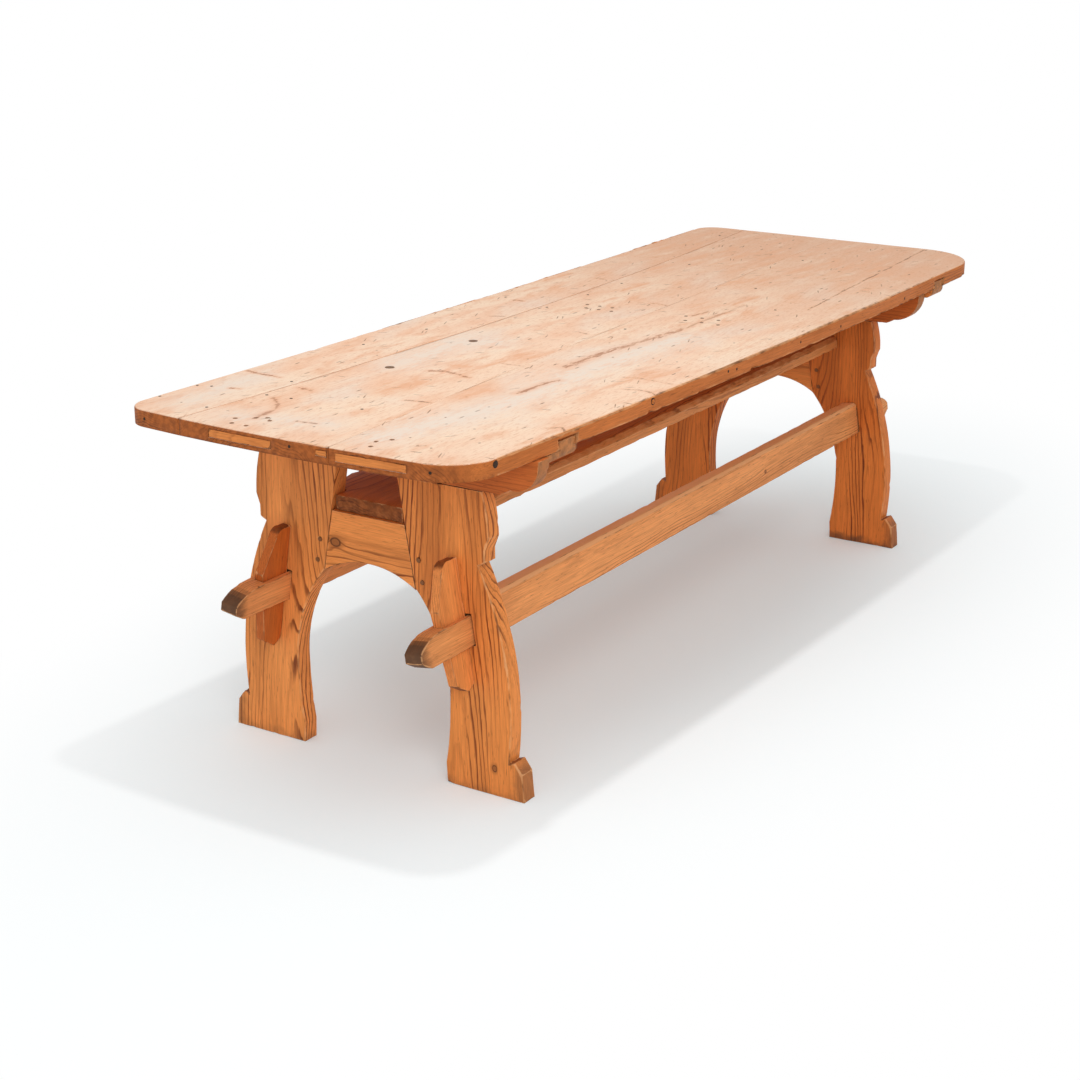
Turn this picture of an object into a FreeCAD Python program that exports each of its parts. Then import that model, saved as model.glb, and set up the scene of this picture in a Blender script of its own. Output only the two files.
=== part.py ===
"""Old pine trestle table that knocks down: two trestles, two wedged stretchers, a loose long board
and a plank top that lifts off.

X runs along the table, the near trestle at -X and the far one at +X. -Y is the front, +Z is up and the
origin is on the floor under the middle of the top. All lengths are millimetres.
"""
import FreeCAD, Part
import os
import re
import Sketcher
from FreeCAD import Placement, Rotation, Vector

SIZES = [
    # The whole table
    ("table_height", 760, "floor to the upper face of the top"),
    ("overrun", 6, "how far a cut runs past the face that it opens"),
    ("hole_clear", 0.1, "play round a peg or dowel"),
    # The top, three planks wide
    ("top_length", 2512, "end to end along the middle"),
    ("top_width", 860, "front edge to back edge at mid length"),
    ("front_near_taper", 40, "how far the front edge draws in at the near end"),
    ("back_near_swell", 24, "how far the back edge runs out at the near end"),
    ("back_far_swell", 18, "how far the back edge runs out at the far end"),
    ("top_thick", 36, "thickness of the planks"),
    ("near_overhang", 230, "top beyond the near trestle"),
    ("far_overhang", 366, "top beyond the far trestle"),
    ("near_bow", 20, "how far the near end swells out at the middle"),
    ("front_near_corner", 110, "rounding of the near front corner"),
    ("front_far_corner", 172, "rounding of the far front corner"),
    ("back_corner", 62, "rounding of the two back corners"),
    ("top_arris", 5, "rounding of the worn upper edge"),
    ("seam_gap", 0.9, "shrinkage between two planks"),
    ("back_plank_near", 162, "width of the back plank at the near end"),
    ("back_plank_middle", 184, "its width at mid length"),
    ("back_plank_far", 136, "its width at the far end"),
    ("front_plank_near", 303, "width of the front plank at the near end"),
    ("front_plank_middle", 405, "its width at mid length"),
    ("front_plank_far", 452, "its width at the far end"),
    ("dowel_dia", 12, "dowels that join the planks edge to edge"),
    ("dowel_length", 110, "length of such a dowel"),
    ("dowel_inset", 216, "end dowels from the trestles' inner faces"),
    ("dowel_cover", 8, "wood above a dowel"),
    # Tongues let into the near end of the top, and their pegs
    ("strip_length", 160, "a tongue's length across the table"),
    ("strip_height", 17, "a tongue's thickness"),
    ("strip_depth", 120, "how deep a tongue goes into the end"),
    ("strip_cover", 9, "wood above a tongue"),
    ("middle_strip_offset", 29.5, "middle tongue behind the centre of the middle plank"),
    ("front_strip_setback", 15, "wood between the front tongue and the front seam"),
    ("key_length", 26, "small key in the near end beside the front seam"),
    ("key_height", 12, "thickness of the key"),
    ("key_depth", 34, "how deep the key goes into the end"),
    ("key_setback", 5, "wood between the key and the front seam"),
    ("strip_peg_dia", 9, "pegs through the tongues"),
    # Battens that slide in dovetail slots under the top
    ("batten_width", 74, "width below the top"),
    ("near_batten_extra", 38, "how much wider the near batten is, beside its bearer"),
    ("batten_drop", 24, "how far a batten hangs below the top"),
    ("batten_short", 4, "how far its ends stay behind the edges"),
    ("batten_nose", 20, "rounding of its lower ends"),
    ("batten_gap", 2, "room between a batten and its bearer"),
    ("tongue_neck", 56, "dovetail width at the underside"),
    ("tongue_flare", 68, "dovetail width at its upper face"),
    ("tongue_height", 18, "height of the dovetail"),
    ("slot_slack", 4, "room left above the dovetail"),
    # Trestles
    ("leg_thick", 42, "thickness of legs and bearers"),
    ("foot_in", 186, "inner edge of the foot from the middle"),
    ("foot_out", 377, "tip of the foot spur"),
    ("spur_lean", 6, "how far the spur draws in towards its top"),
    ("spur_side", 60, "height of the spur's upright side"),
    ("spur_tip", 84, "height of the spur's upper tip"),
    ("spur_tip_set", 24, "upper tip of the spur behind the foot's tip"),
    ("ankle_set", 37, "outer edge just above the spur, behind the foot's tip"),
    ("ankle_height", 79, "height of that place"),
    ("calf_set", 41, "outer edge halfway to the notch, behind the foot's tip"),
    ("notch_out", 270, "bottom of the notch from the middle"),
    ("lobe_height", 155, "lobe from the notch to the bearer"),
    ("lobe_out", 285, "lower side of the lobe above the notch"),
    ("lobe_rise", 7, "foot of that side above the notch"),
    ("lobe_neck", 33, "head of that side above the notch"),
    ("lobe_swell", 294, "widest place of the lobe"),
    ("lobe_swell_rise", 58, "that place above the notch"),
    ("leg_top_out", 280, "outer edge at the bearer"),
    ("leg_top_in", 75, "inner edge at the bearer"),
    ("arch_half", 117, "inner edge where the crosspiece ends"),
    ("arch_wide", 196, "inner edge where the arch is widest"),
    ("arch_wide_height", 190, "height of that place"),
    ("ankle_in", 184, "inner edge at the ankle"),
    ("ankle_in_height", 45, "height of that place"),
    ("leg_arris", 2, "worn edges of the legs"),
    ("bearer_height", 80, "near bearer from leg to top"),
    ("far_bearer_extra", 16, "how much deeper the far bearer is"),
    ("bearer_short", 20, "how far its ends stay behind the top's edges"),
    ("bearer_nose", 65, "length of the rounded nose under each end"),
    ("bearer_step_run", 23, "bevel of the underside, outwards"),
    ("bearer_step", 12, "bevel of the underside, upwards"),
    ("bearer_land", 8, "upright end above the rounded nose"),
    ("crosspiece_thick", 38, "thickness of the crosspiece"),
    ("crosspiece_drop", 101, "crosspiece below the bearer"),
    ("crosspiece_height", 135, "crosspiece from the spring of the arch"),
    ("arch_rise", 34, "crown of the arch above its spring"),
    ("shoulder_gap", 0.6, "shrinkage at the crosspiece's shoulders"),
    ("joint_thick", 14, "thickness of the hidden tenons"),
    ("joint_slack", 1, "room at the end of a hidden tenon"),
    ("crosspiece_tenon", 55, "length of the crosspiece's tenons"),
    ("crosspiece_tenon_low", 8, "tenon's lower shoulder"),
    ("crosspiece_tenon_high", 20, "tenon's upper shoulder"),
    ("leg_tenon", 45, "height of the tenon in the bearer"),
    ("leg_tenon_inset", 24, "shoulder beside that tenon"),
    ("peg_dia", 9, "pegs through the trestle joints"),
    ("peg_proud", 0.8, "how far a peg of the crosspiece stands out"),
    ("peg_setback", 20, "peg behind the crosspiece's shoulder"),
    ("peg_low", 20, "lower peg above the spring of the arch"),
    ("peg_pitch", 46, "upper peg above the lower one"),
    # Long board that lies on the crosspieces
    ("board_thick", 34, "thickness of the board"),
    ("board_front", 186, "front edge from the middle, between the trestles"),
    ("board_back", 160, "back edge from the middle, between the trestles"),
    ("board_setback", 4, "end behind the trestle's outer face"),
    ("board_clear", 1.5, "room between the board and the legs"),
    ("board_chamfer", 11, "bevel of its upper edges"),
    # Stretchers, which lean with the legs
    ("lean_share", 0.158, "sideways lean for each unit of height"),
    ("stretcher_out", 237, "foot of the stretcher's section from the middle"),
    ("stretcher_drop", 331, "that place below the bearer, at the front"),
    ("back_stretcher_rise", 11, "how much higher the back stretcher lies"),
    ("stretcher_thick", 48, "thickness of the stretcher"),
    ("stretcher_height", 84, "height of the stretcher"),
    ("stretcher_chamfer", 7, "bevel of its upper edges"),
    ("tenon_cheek", 2, "shoulder on each side of the through tenon"),
    ("tenon_shoulder", 20, "shoulder above the through tenon"),
    ("tenon_rise", 2, "shoulder below the through tenon"),
    ("tenon_reach", 172, "tenon beyond the leg"),
    ("tenon_crown_run", 66, "length of its rounded upper end"),
    ("tenon_crown_drop", 26, "drop of its rounded upper end"),
    ("tenon_keel_run", 28, "length of its bevelled lower end"),
    ("tenon_keel_rise", 16, "rise of its bevelled lower end"),
    ("mortise_side_slack", 3, "gap beside the tenon on the outer side"),
    ("mortise_top_slack", 4, "gap above the tenon"),
    # Wedges that lock the tenons
    ("wedge_thick", 22, "thickness of a wedge"),
    ("wedge_depth", 70, "depth at the stretcher's underside"),
    ("wedge_taper_share", 0.15, "gain in depth for each unit of height"),
    ("wedge_below", 88, "tip below the stretcher's underside"),
    ("wedge_above", 187, "head above the stretcher's underside"),
    ("back_wedge_drop", 17, "how much deeper the back wedges are driven"),
    ("wedge_shoulder", 96, "height where the head starts to slope"),
    ("wedge_tip_back", 12, "bevel of the tip against the leg"),
    ("wedge_tip_out", 22, "bevel of the tip on the outer side"),
    ("wedge_head_drop", 16, "rounding of the head's outer corner"),
    ("wedge_clear", 0.3, "room round a wedge"),
    ("slot_draw", 9, "slot carried in behind the leg's face"),
]

# How deep the top of each wedge's head is, as a share of the wedge's depth: each was cut by eye.
WEDGE_HEAD_SHARES = {
    ("near", "front"): 0.80,
    ("near", "back"): 0.66,
    ("far", "front"): 0.72,
    ("far", "back"): 0.76,
}
# Where the pegs of each tongue stand: from the table's end, and along the tongue from its centre.
MIDDLE_PEG_SHARES = [(0.30, 0.29), (0.30, 0.06), (0.56, 0.40), (0.76, 0.19), (0.86, 0.07), (0.74, -0.04)]
FRONT_PEG_SHARES = [(0.41, 0.19), (0.68, 0.26), (0.90, 0.15)]
# The point that the bearer's rounded nose and the tenon's rounded end pass through.
NOSE_SHARES = (0.74, 0.28)
CROWN_SHARES = (0.35, 0.386)
# How much of the lobe's swell is left halfway up to the bearer.
LOBE_SHARE = 0.75
# The tip of a wedge along its lower end, and the start of its rounded head along the upper end.
TIP_SHARE = 0.42
HEAD_SHARES = (0.45, 0.86, 0.36)
# Two places count as the same within this share of the table's height.
SAME_SHARE = 1e-6
# Places of the dowels along a seam, from the middle of the trestles to the end dowels.
DOWEL_SHARES = (-1, -0.5, 0, 0.5, 1)
# Pegs and dowels are hewn with this many sides, and their holes are cut to match.
HEWN_SIDES = 8
SIDE_TURN = 360 / HEWN_SIDES

ENDS = {"near": -1, "far": 1}
SIDES = {"front": -1, "back": 1}
NAMES = {name for name, _, _ in SIZES}

doc = FreeCAD.newDocument("TrestleTable")
sheet = doc.addObject("Spreadsheet::Sheet", "Sizes")
for row, (size_name, size, meaning) in enumerate(SIZES, start=1):
    sheet.set(f"A{row}", meaning)
    sheet.set(f"B{row}", str(size))
    sheet.setAlias(f"B{row}", size_name)
doc.recompute()

nodes = []

# Heights and places that several pieces share, in the sheet's own words.
UNDERSIDE = "(table_height - top_thick)"
LEG_HEIGHT = "(table_height - top_thick - bearer_height)"
CROSSPIECE_TOP = f"({LEG_HEIGHT} - crosspiece_drop)"
ARCH_SPRING = f"({CROSSPIECE_TOP} - crosspiece_height)"
NOTCH_HEIGHT = f"({LEG_HEIGHT} - lobe_height)"
HALF_WIDTH = "(top_width / 2)"
NEAR_END = "(-top_length / 2)"
FAR_END = "(top_length / 2)"
# The trestles' own middle is a little nearer than the top's, by this shift.
SHIFT = "((far_overhang - near_overhang) / 2)"
LEG_FACE = "((top_length - near_overhang - far_overhang) / 2)"
LEG_BACK = f"({LEG_FACE} - leg_thick)"
JOINT_LIFT = "((leg_thick - joint_thick) / 2)"
LEAN = "atan(lean_share)"
TENON_THICK = "(stretcher_thick - 2 * tenon_cheek)"
TENON_TOP = "(stretcher_height - tenon_shoulder)"


def words(text):
    """Puts the sheet's name before each of the sheet's own words."""
    return re.sub(r"[a-z][a-z_]*", lambda m: "Sizes." + m[0] if m[0] in NAMES else m[0], str(text))


def measure(text):
    """The number that an expression gives now."""
    return float(sheet.evalExpression(words(text)))


def bind(item, target, text):
    item.setExpression(target, words(text))


def inner_edge(height):
    """Distance from the middle to a leg's straight inner edge at a height."""
    fall = f"({LEG_HEIGHT} - ({height})) / ({LEG_HEIGHT} - {ARCH_SPRING})"
    return f"(leg_top_in + (arch_half - leg_top_in) * {fall})"


def bearer_low(end):
    """Underside of a bearer, where its legs end."""
    return LEG_HEIGHT if end == "near" else f"({LEG_HEIGHT} - far_bearer_extra)"


def edge_place(which, where):
    """A long edge's place across the table at its near end, mid length or far end."""
    gains = {("back", "near"): "back_near_swell", ("back", "far"): "back_far_swell",
             ("front", "near"): "-front_near_taper"}
    return f"({SIDES[which]} * ({HALF_WIDTH} + {gains.get((which, where), '0')}))"


def edge_at(which, along):
    """A long edge's place across the table at a distance along it, on a curve through its three places."""
    near, middle, far = (edge_place(which, where) for where in ("near", "middle", "far"))
    share = f"(({along}) / {FAR_END})"
    return f"({middle} + ({far} - {near}) / 2 * {share} + (({far} + {near}) / 2 - {middle}) * {share}^2)"


def near_end(across):
    """The bowed near end of the top, at a distance across the table."""
    middle = f"(({edge_place('back', 'near')} + {edge_place('front', 'near')}) / 2)"
    return f"({NEAR_END} + near_bow * ((({across}) - {middle}) / {HALF_WIDTH})^2)"


def stretcher_low(place):
    """Height of the foot of a stretcher's section."""
    gain = "back_stretcher_rise" if place == "back" else "0"
    return f"({LEG_HEIGHT} - stretcher_drop + {gain})"


def leaned(place, across, along):
    """A point of the leaning stretcher's section, seen in the trestle's plane."""
    outward = f"stretcher_out + ({across}) * cos({LEAN}) - ({along}) * sin({LEAN})"
    upward = f"{stretcher_low(place)} + ({across}) * sin({LEAN}) + ({along}) * cos({LEAN})"
    return f"({outward})", f"({upward})"


def wedge_edge(height):
    """Depth of a wedge's tapered outer edge at a height on the stretcher."""
    return f"(wedge_depth + wedge_taper_share * ({height}))"


def new_body(label):
    body = doc.addObject("PartDesign::Body", label)
    body.Label = label
    nodes.append(body)
    return body


def new_sketch(body, role, lift):
    sketch = body.newObject("Sketcher::SketchObject", body.Label + "_sketch")
    support = next(item for item in body.Origin.OriginFeatures if item.Role == role)
    sketch.AttachmentSupport = [(support, "")]
    sketch.MapMode = "FlatFace"
    bind(sketch, "AttachmentOffset.Base.z", lift)
    return sketch


def pin(sketch, geometry, point, place):
    """Ties a point of the sketch to two expressions."""
    for kind, text in zip(("DistanceX", "DistanceY"), place):
        rule = Sketcher.Constraint(kind, -1, 1, geometry, point, measure(text))
        bind(sketch, f"Constraints[{sketch.addConstraint(rule)}]", text)


def add_outline(sketch, path):
    """A closed outline. A step of two expressions is a line to that point, one of four is an arc
    through the first point to the second."""
    spots = [Vector(measure(step[-2]), measure(step[-1]), 0) for step in path]
    edges = []
    for index, step in enumerate(path):
        start, end = spots[index - 1], spots[index]
        if len(step) == 2:
            edges.append((sketch.addGeometry(Part.LineSegment(start, end)), 1, 2))
            continue
        via = Vector(measure(step[0]), measure(step[1]), 0)
        turns_left = (via - start).cross(end - via).z > 0
        first, last = (start, end) if turns_left else (end, start)
        arc = sketch.addGeometry(Part.Arc(first, via, last))
        edges.append((arc, 1, 2) if turns_left else (arc, 2, 1))
    for index, (edge, start_tip, end_tip) in enumerate(edges):
        before, _, before_tip = edges[index - 1]
        sketch.addConstraint(Sketcher.Constraint("Coincident", before, before_tip, edge, start_tip))
        step = path[index]
        pin(sketch, edge, end_tip, step[-2:])
        if len(step) == 4:
            dot = sketch.addGeometry(Part.Point(Vector(measure(step[0]), measure(step[1]), 0)), True)
            pin(sketch, dot, 1, step[:2])
            sketch.addConstraint(Sketcher.Constraint("PointOnObject", dot, 1, edge))


def draw(body, role, path, lift="0"):
    sketch = new_sketch(body, role, lift)
    add_outline(sketch, path)
    return sketch


def corner_reach(across):
    """Distance from the middle to a corner of a hewn peg, from its width across the flats."""
    return f"(({across}) / 2 / cos({SIDE_TURN / 2}))"


def draw_peg_holes(body, role, centres, dia, lift="0"):
    """Holes for hewn pegs, with a little play all round."""
    sketch = new_sketch(body, role, lift)
    reach = corner_reach(f"{dia} + 2 * hole_clear")
    turns = [SIDE_TURN * side for side in range(HEWN_SIDES)]
    for along, across in centres:
        add_outline(sketch, [(f"{along} + {reach} * cos({turn})", f"{across} + {reach} * sin({turn})")
                             for turn in turns])
    return sketch


def pad(body, sketch, length, both_ways=False):
    feature = body.newObject("PartDesign::Pad", body.Label + "_pad")
    feature.Profile = sketch
    feature.SideType = "Symmetric" if both_ways else "One side"
    bind(feature, "Length", length)
    doc.recompute()
    return feature


def pocket(body, sketch, length=None, both_ways=False):
    """Cuts along the sketch's normal, or right through when no length is given."""
    before = body.Shape.Volume
    feature = body.newObject("PartDesign::Pocket", body.Label + "_pocket")
    feature.Profile = sketch
    feature.SideType = "Symmetric" if both_ways or length is None else "One side"
    if length is None:
        feature.Type = "ThroughAll"
    else:
        feature.Reversed = not both_ways
        bind(feature, "Length", length)
    doc.recompute()
    if not feature.Shape.Volume < before:
        raise RuntimeError(f"{body.Label}: a cut removed nothing")
    return feature


def dress(body, kind, test, size):
    """Rounds or bevels the edges that pass a test of their mid point and end points."""
    base = body.Tip
    picked = []
    for number, edge in enumerate(base.Shape.Edges, start=1):
        middle = edge.valueAt((edge.FirstParameter + edge.LastParameter) / 2)
        if test(middle, [vertex.Point for vertex in edge.Vertexes]):
            picked.append(f"Edge{number}")
    feature = body.newObject("PartDesign::" + kind, body.Label + "_" + kind.lower())
    feature.Base = (base, picked)
    bind(feature, "Radius" if kind == "Fillet" else "Size", size)
    doc.recompute()
    return feature


def close(first, second):
    """Whether two lengths agree, for picking edges."""
    return abs(first - second) < SAME_SHARE * measure("table_height")


def hewn_rod(label, dia, length, place, axis):
    """A peg or dowel: its start is at place, and it runs along X, Y or Z."""
    turns = {"x": Rotation(Vector(0, 1, 0), 90), "y": Rotation(Vector(-1, 0, 0), 90), "z": Rotation()}
    rod = doc.addObject("Part::Prism", label)
    rod.Polygon = HEWN_SIDES
    rod.Placement = Placement(Vector(), turns[axis])
    bind(rod, "Circumradius", corner_reach(dia))
    bind(rod, "Height", length)
    for letter, text in zip("xyz", place):
        bind(rod, f"Placement.Base.{letter}", text)
    return rod


def group(label, rods):
    bundle = doc.addObject("Part::Compound", label)
    bundle.Label = label
    bundle.Links = rods
    nodes.append(bundle)
    doc.recompute()


def seam_place(which, where):
    """A seam's place across the table at its near end, mid length or far end."""
    return f"({edge_place(which, where)} - {SIDES[which]} * {which}_plank_{where})"


def seam(which, side):
    """One side of a seam, as the far, middle and near points of an arc."""
    half_gap = f"{side} * seam_gap / 2"
    far, middle, near = (f"({seam_place(which, where)} + {half_gap})" for where in ("far", "middle", "near"))
    return far, middle, near


def batten_start(end):
    """Where a batten's near face lies along the table: against the far side of its bearer."""
    return f"(batten_gap - {LEG_BACK} - {SHIFT})" if end == "near" else f"({LEG_FACE} + batten_gap - {SHIFT})"


def tongue_middle(end):
    """The middle of a batten's dovetail, which lies towards its far face."""
    extra = "near_batten_extra" if end == "near" else "0"
    return f"({batten_start(end)} + {extra} + batten_width / 2)"


def strip_outline(place, length, depth, past="0"):
    """A tongue in the near end, with its outer face on the end's bow."""
    low = f"({place} - {length} / 2)"
    high = f"({place} + {length} / 2)"
    inner = f"({NEAR_END} + {depth})"
    return [
        (inner, high),
        (f"{near_end(high)} - {past}", high),
        (f"{near_end(place)} - {past}", place, f"{near_end(low)} - {past}", low),
        (inner, low),
    ]


STRIP_LOW = "(table_height - strip_cover - strip_height)"
KEY_LOW = "(table_height - strip_cover - key_height)"
FRONT_SEAM = seam_place("front", "near")
KEY_PLACE = f"({FRONT_SEAM} + key_setback + key_length / 2)"
MIDDLE_STRIP = f"(({seam_place('back', 'near')} + {FRONT_SEAM}) / 2 + middle_strip_offset)"
FRONT_STRIP = f"({FRONT_SEAM} - front_strip_setback - strip_length / 2)"
STRIPS = {
    "middle": (MIDDLE_STRIP, MIDDLE_PEG_SHARES),
    "front": (FRONT_STRIP, FRONT_PEG_SHARES),
}


def strip_peg_places(which):
    place, shares = STRIPS[which]
    return [(f"({NEAR_END} + {deep} * strip_depth)", f"({place} + {along} * strip_length)")
            for deep, along in shares]


def cut_dovetails(plank):
    """The two slots under the top that hold the battens."""
    for end in ENDS:
        middle = tongue_middle(end)
        deep = "(tongue_height + slot_slack)"
        flare = f"(tongue_neck + (tongue_flare - tongue_neck) * {deep} / tongue_height) / 2"
        outline = [
            (f"{middle} - tongue_neck / 2", f"{UNDERSIDE} - overrun"),
            (f"{middle} + tongue_neck / 2", f"{UNDERSIDE} - overrun"),
            (f"{middle} + tongue_neck / 2", UNDERSIDE),
            (f"{middle} + {flare}", f"{UNDERSIDE} + {deep}"),
            (f"{middle} - {flare}", f"{UNDERSIDE} + {deep}"),
            (f"{middle} - tongue_neck / 2", UNDERSIDE),
        ]
        pocket(plank, draw(plank, "XZ_Plane", outline))


def dowel_places():
    return [f"({share} * ({LEG_BACK} - dowel_inset) - {SHIFT})" for share in DOWEL_SHARES]


def cut_dowel_holes(plank, which):
    """Blind holes across a seam, one row for each seam that the plank has."""
    height = "table_height - dowel_cover - dowel_dia / 2"
    centres = [(along, height) for along in dowel_places()]
    # The plane's own normal is -Y, so its lift is minus the place across the table.
    lift = f"-{seam_place(which, 'middle')}"
    holes = draw_peg_holes(plank, "XZ_Plane", centres, "dowel_dia", lift)
    pocket(plank, holes, "dowel_length + 2 * joint_slack", both_ways=True)


def cut_strip(plank, which):
    """The mortise in the near end for a tongue, and the holes for its pegs."""
    place = STRIPS[which][0]
    mortise = strip_outline(place, "strip_length", "strip_depth", "overrun")
    pocket(plank, draw(plank, "XY_Plane", mortise, STRIP_LOW), "strip_height")
    places = strip_peg_places(which)
    holes = draw_peg_holes(plank, "XY_Plane", places, "strip_peg_dia", STRIP_LOW)
    pocket(plank, holes, "strip_height + strip_cover + overrun")


def round_corner(plank, which, where, radius):
    """Rounds the upright corner at the near or far end of a long edge."""
    across = edge_place(which, where)
    along = near_end(across) if where == "near" else FAR_END

    def is_corner(middle, points):
        upright = not close(points[0].z, points[-1].z)
        return upright and close(middle.x, measure(along)) and close(middle.y, measure(across))

    dress(plank, "Fillet", is_corner, radius)


def wear_upper_edge(plank):
    """Rounds the upper edge of a plank, but not its seams: those are long, and inside the outer edges."""
    def is_outer(middle, points):
        long = abs(points[0].x - points[-1].x) > measure("top_length") / 2
        inside = abs(middle.y) < measure(f"{HALF_WIDTH} - overrun")
        upper = all(close(point.z, measure("table_height")) for point in points)
        return upper and not (long and inside)

    dress(plank, "Fillet", is_outer, "top_arris")


def make_plank_back():
    plank = new_body("plank_back")
    far, middle, near = seam("back", 1)
    edge_near, edge_far = edge_place("back", "near"), edge_place("back", "far")
    outline = [
        (near_end(edge_near), edge_near),
        ("0", HALF_WIDTH, FAR_END, edge_far),
        (FAR_END, far),
        ("0", middle, near_end(near), near),
    ]
    pad(plank, draw(plank, "XY_Plane", outline, UNDERSIDE), "top_thick")
    round_corner(plank, "back", "near", "back_corner")
    round_corner(plank, "back", "far", "back_corner")
    wear_upper_edge(plank)
    cut_dovetails(plank)
    cut_dowel_holes(plank, "back")


def make_plank_middle():
    plank = new_body("plank_middle")
    back_far, back_middle, back_near = seam("back", -1)
    front_far, front_middle, front_near = seam("front", 1)
    halfway = f"(({back_near} + {front_near}) / 2)"
    outline = [
        (near_end(halfway), halfway, near_end(back_near), back_near),
        ("0", back_middle, FAR_END, back_far),
        (FAR_END, front_far),
        ("0", front_middle, near_end(front_near), front_near),
    ]
    pad(plank, draw(plank, "XY_Plane", outline, UNDERSIDE), "top_thick")
    wear_upper_edge(plank)
    cut_dovetails(plank)
    cut_dowel_holes(plank, "back")
    cut_dowel_holes(plank, "front")
    cut_strip(plank, "middle")
    key = strip_outline(KEY_PLACE, "key_length", "key_depth", "overrun")
    pocket(plank, draw(plank, "XY_Plane", key, KEY_LOW), "key_height")


def make_plank_front():
    plank = new_body("plank_front")
    far, middle, near = seam("front", -1)
    edge_near, edge_far = edge_place("front", "near"), edge_place("front", "far")
    halfway = f"(({near} + {edge_near}) / 2)"
    outline = [
        (near_end(halfway), halfway, near_end(near), near),
        ("0", middle, FAR_END, far),
        (FAR_END, edge_far),
        ("0", f"-{HALF_WIDTH}", near_end(edge_near), edge_near),
    ]
    pad(plank, draw(plank, "XY_Plane", outline, UNDERSIDE), "top_thick")
    round_corner(plank, "front", "near", "front_near_corner")
    round_corner(plank, "front", "far", "front_far_corner")
    wear_upper_edge(plank)
    cut_dovetails(plank)
    cut_dowel_holes(plank, "front")
    cut_strip(plank, "front")


def make_dowels(which):
    rods = []
    for along in dowel_places():
        place = (along, f"{seam_place(which, 'middle')} - dowel_length / 2",
                 "table_height - dowel_cover - dowel_dia / 2")
        rods.append(hewn_rod(f"{which}_dowel", "dowel_dia", "dowel_length", place, "y"))
    group(f"dowels_{which}_seam", rods)


def make_end_tongues():
    for which, (place, _) in STRIPS.items():
        strip = new_body(f"end_tongue_{which}")
        outline = strip_outline(place, "strip_length", "strip_depth")
        pad(strip, draw(strip, "XY_Plane", outline, STRIP_LOW), "strip_height")
        holes = draw_peg_holes(strip, "XY_Plane", strip_peg_places(which), "strip_peg_dia")
        pocket(strip, holes)
    key = new_body("end_key")
    outline = strip_outline(KEY_PLACE, "key_length", "key_depth")
    pad(key, draw(key, "XY_Plane", outline, KEY_LOW), "key_height")
    rods = []
    for which in STRIPS:
        for along, across in strip_peg_places(which):
            length = "strip_height + strip_cover"
            rods.append(hewn_rod("tongue_peg", "strip_peg_dia", length, (along, across, STRIP_LOW), "z"))
    group("tongue_pegs", rods)


def make_batten(end):
    """A batten with a dovetailed tongue, its lower ends rounded."""
    batten = new_body(f"batten_{end}")
    middle = tongue_middle(end)
    lower = f"({UNDERSIDE} - batten_drop)"
    outline = [
        (batten_start(end), lower),
        (f"{middle} + batten_width / 2", lower),
        (f"{middle} + batten_width / 2", UNDERSIDE),
        (f"{middle} + tongue_neck / 2", UNDERSIDE),
        (f"{middle} + tongue_flare / 2", f"{UNDERSIDE} + tongue_height"),
        (f"{middle} - tongue_flare / 2", f"{UNDERSIDE} + tongue_height"),
        (f"{middle} - tongue_neck / 2", UNDERSIDE),
        (batten_start(end), UNDERSIDE),
    ]
    back = f"({edge_at('back', middle)} - batten_short)"
    front = f"({edge_at('front', middle)} + batten_short)"
    # The plane's own normal is -Y, so its lift is minus the place across the table.
    sketch = draw(batten, "XZ_Plane", outline, f"-({back} + {front}) / 2")
    pad(batten, sketch, f"{back} - {front}", both_ways=True)

    def is_lower_end(point, _):
        at_end = close(point.y, measure(back)) or close(point.y, measure(front))
        return close(point.z, measure(lower)) and at_end

    dress(batten, "Fillet", is_lower_end, "batten_nose")


def swelling(narrow, height):
    """The middle of an arc on a leg's inner edge, upright at the widest place of the arch."""
    gain = f"(arch_wide - {narrow})"
    rise = f"({height} - arch_wide_height)"
    radius = f"(({gain}^2 + {rise}^2) / (2 * {gain}))"
    return f"(arch_wide - {radius} + sqrt({radius}^2 - ({rise} / 2)^2))", f"(arch_wide_height + {rise} / 2)"


def leg_outline(side, end):
    """A leg seen from the table's end: spurred foot, bowed calf, notch and lobe on the outer side, and
    half of the arch on the inner side."""
    swell = f"({NOTCH_HEIGHT} + lobe_swell_rise)"
    path = [
        ("foot_in", "0"),
        ("foot_out", "0"),
        ("foot_out - spur_lean", "spur_side"),
        ("foot_out - spur_tip_set", "spur_tip"),
        ("foot_out - ankle_set", "ankle_height"),
        ("foot_out - calf_set", f"(ankle_height + {NOTCH_HEIGHT}) / 2", "notch_out", NOTCH_HEIGHT),
        ("lobe_out", f"{NOTCH_HEIGHT} + lobe_rise"),
        ("lobe_out", f"{NOTCH_HEIGHT} + lobe_neck"),
        ("lobe_swell", swell),
        (f"leg_top_out + {LOBE_SHARE} * (lobe_swell - leg_top_out)", f"({swell} + {bearer_low(end)}) / 2",
         "leg_top_out", bearer_low(end)),
        (inner_edge(bearer_low(end)), bearer_low(end)),
        ("arch_half", ARCH_SPRING),
        (*swelling("arch_half", ARCH_SPRING), "arch_wide", "arch_wide_height"),
        (*swelling("ankle_in", "ankle_in_height"), "ankle_in", "ankle_in_height"),
    ]
    return [mirrored(side, step) for step in path]


def mirrored(side, step):
    """A step of a path on the front or the back half of a trestle."""
    return tuple(f"{side} * ({text})" if index % 2 == 0 else text for index, text in enumerate(step))


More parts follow.
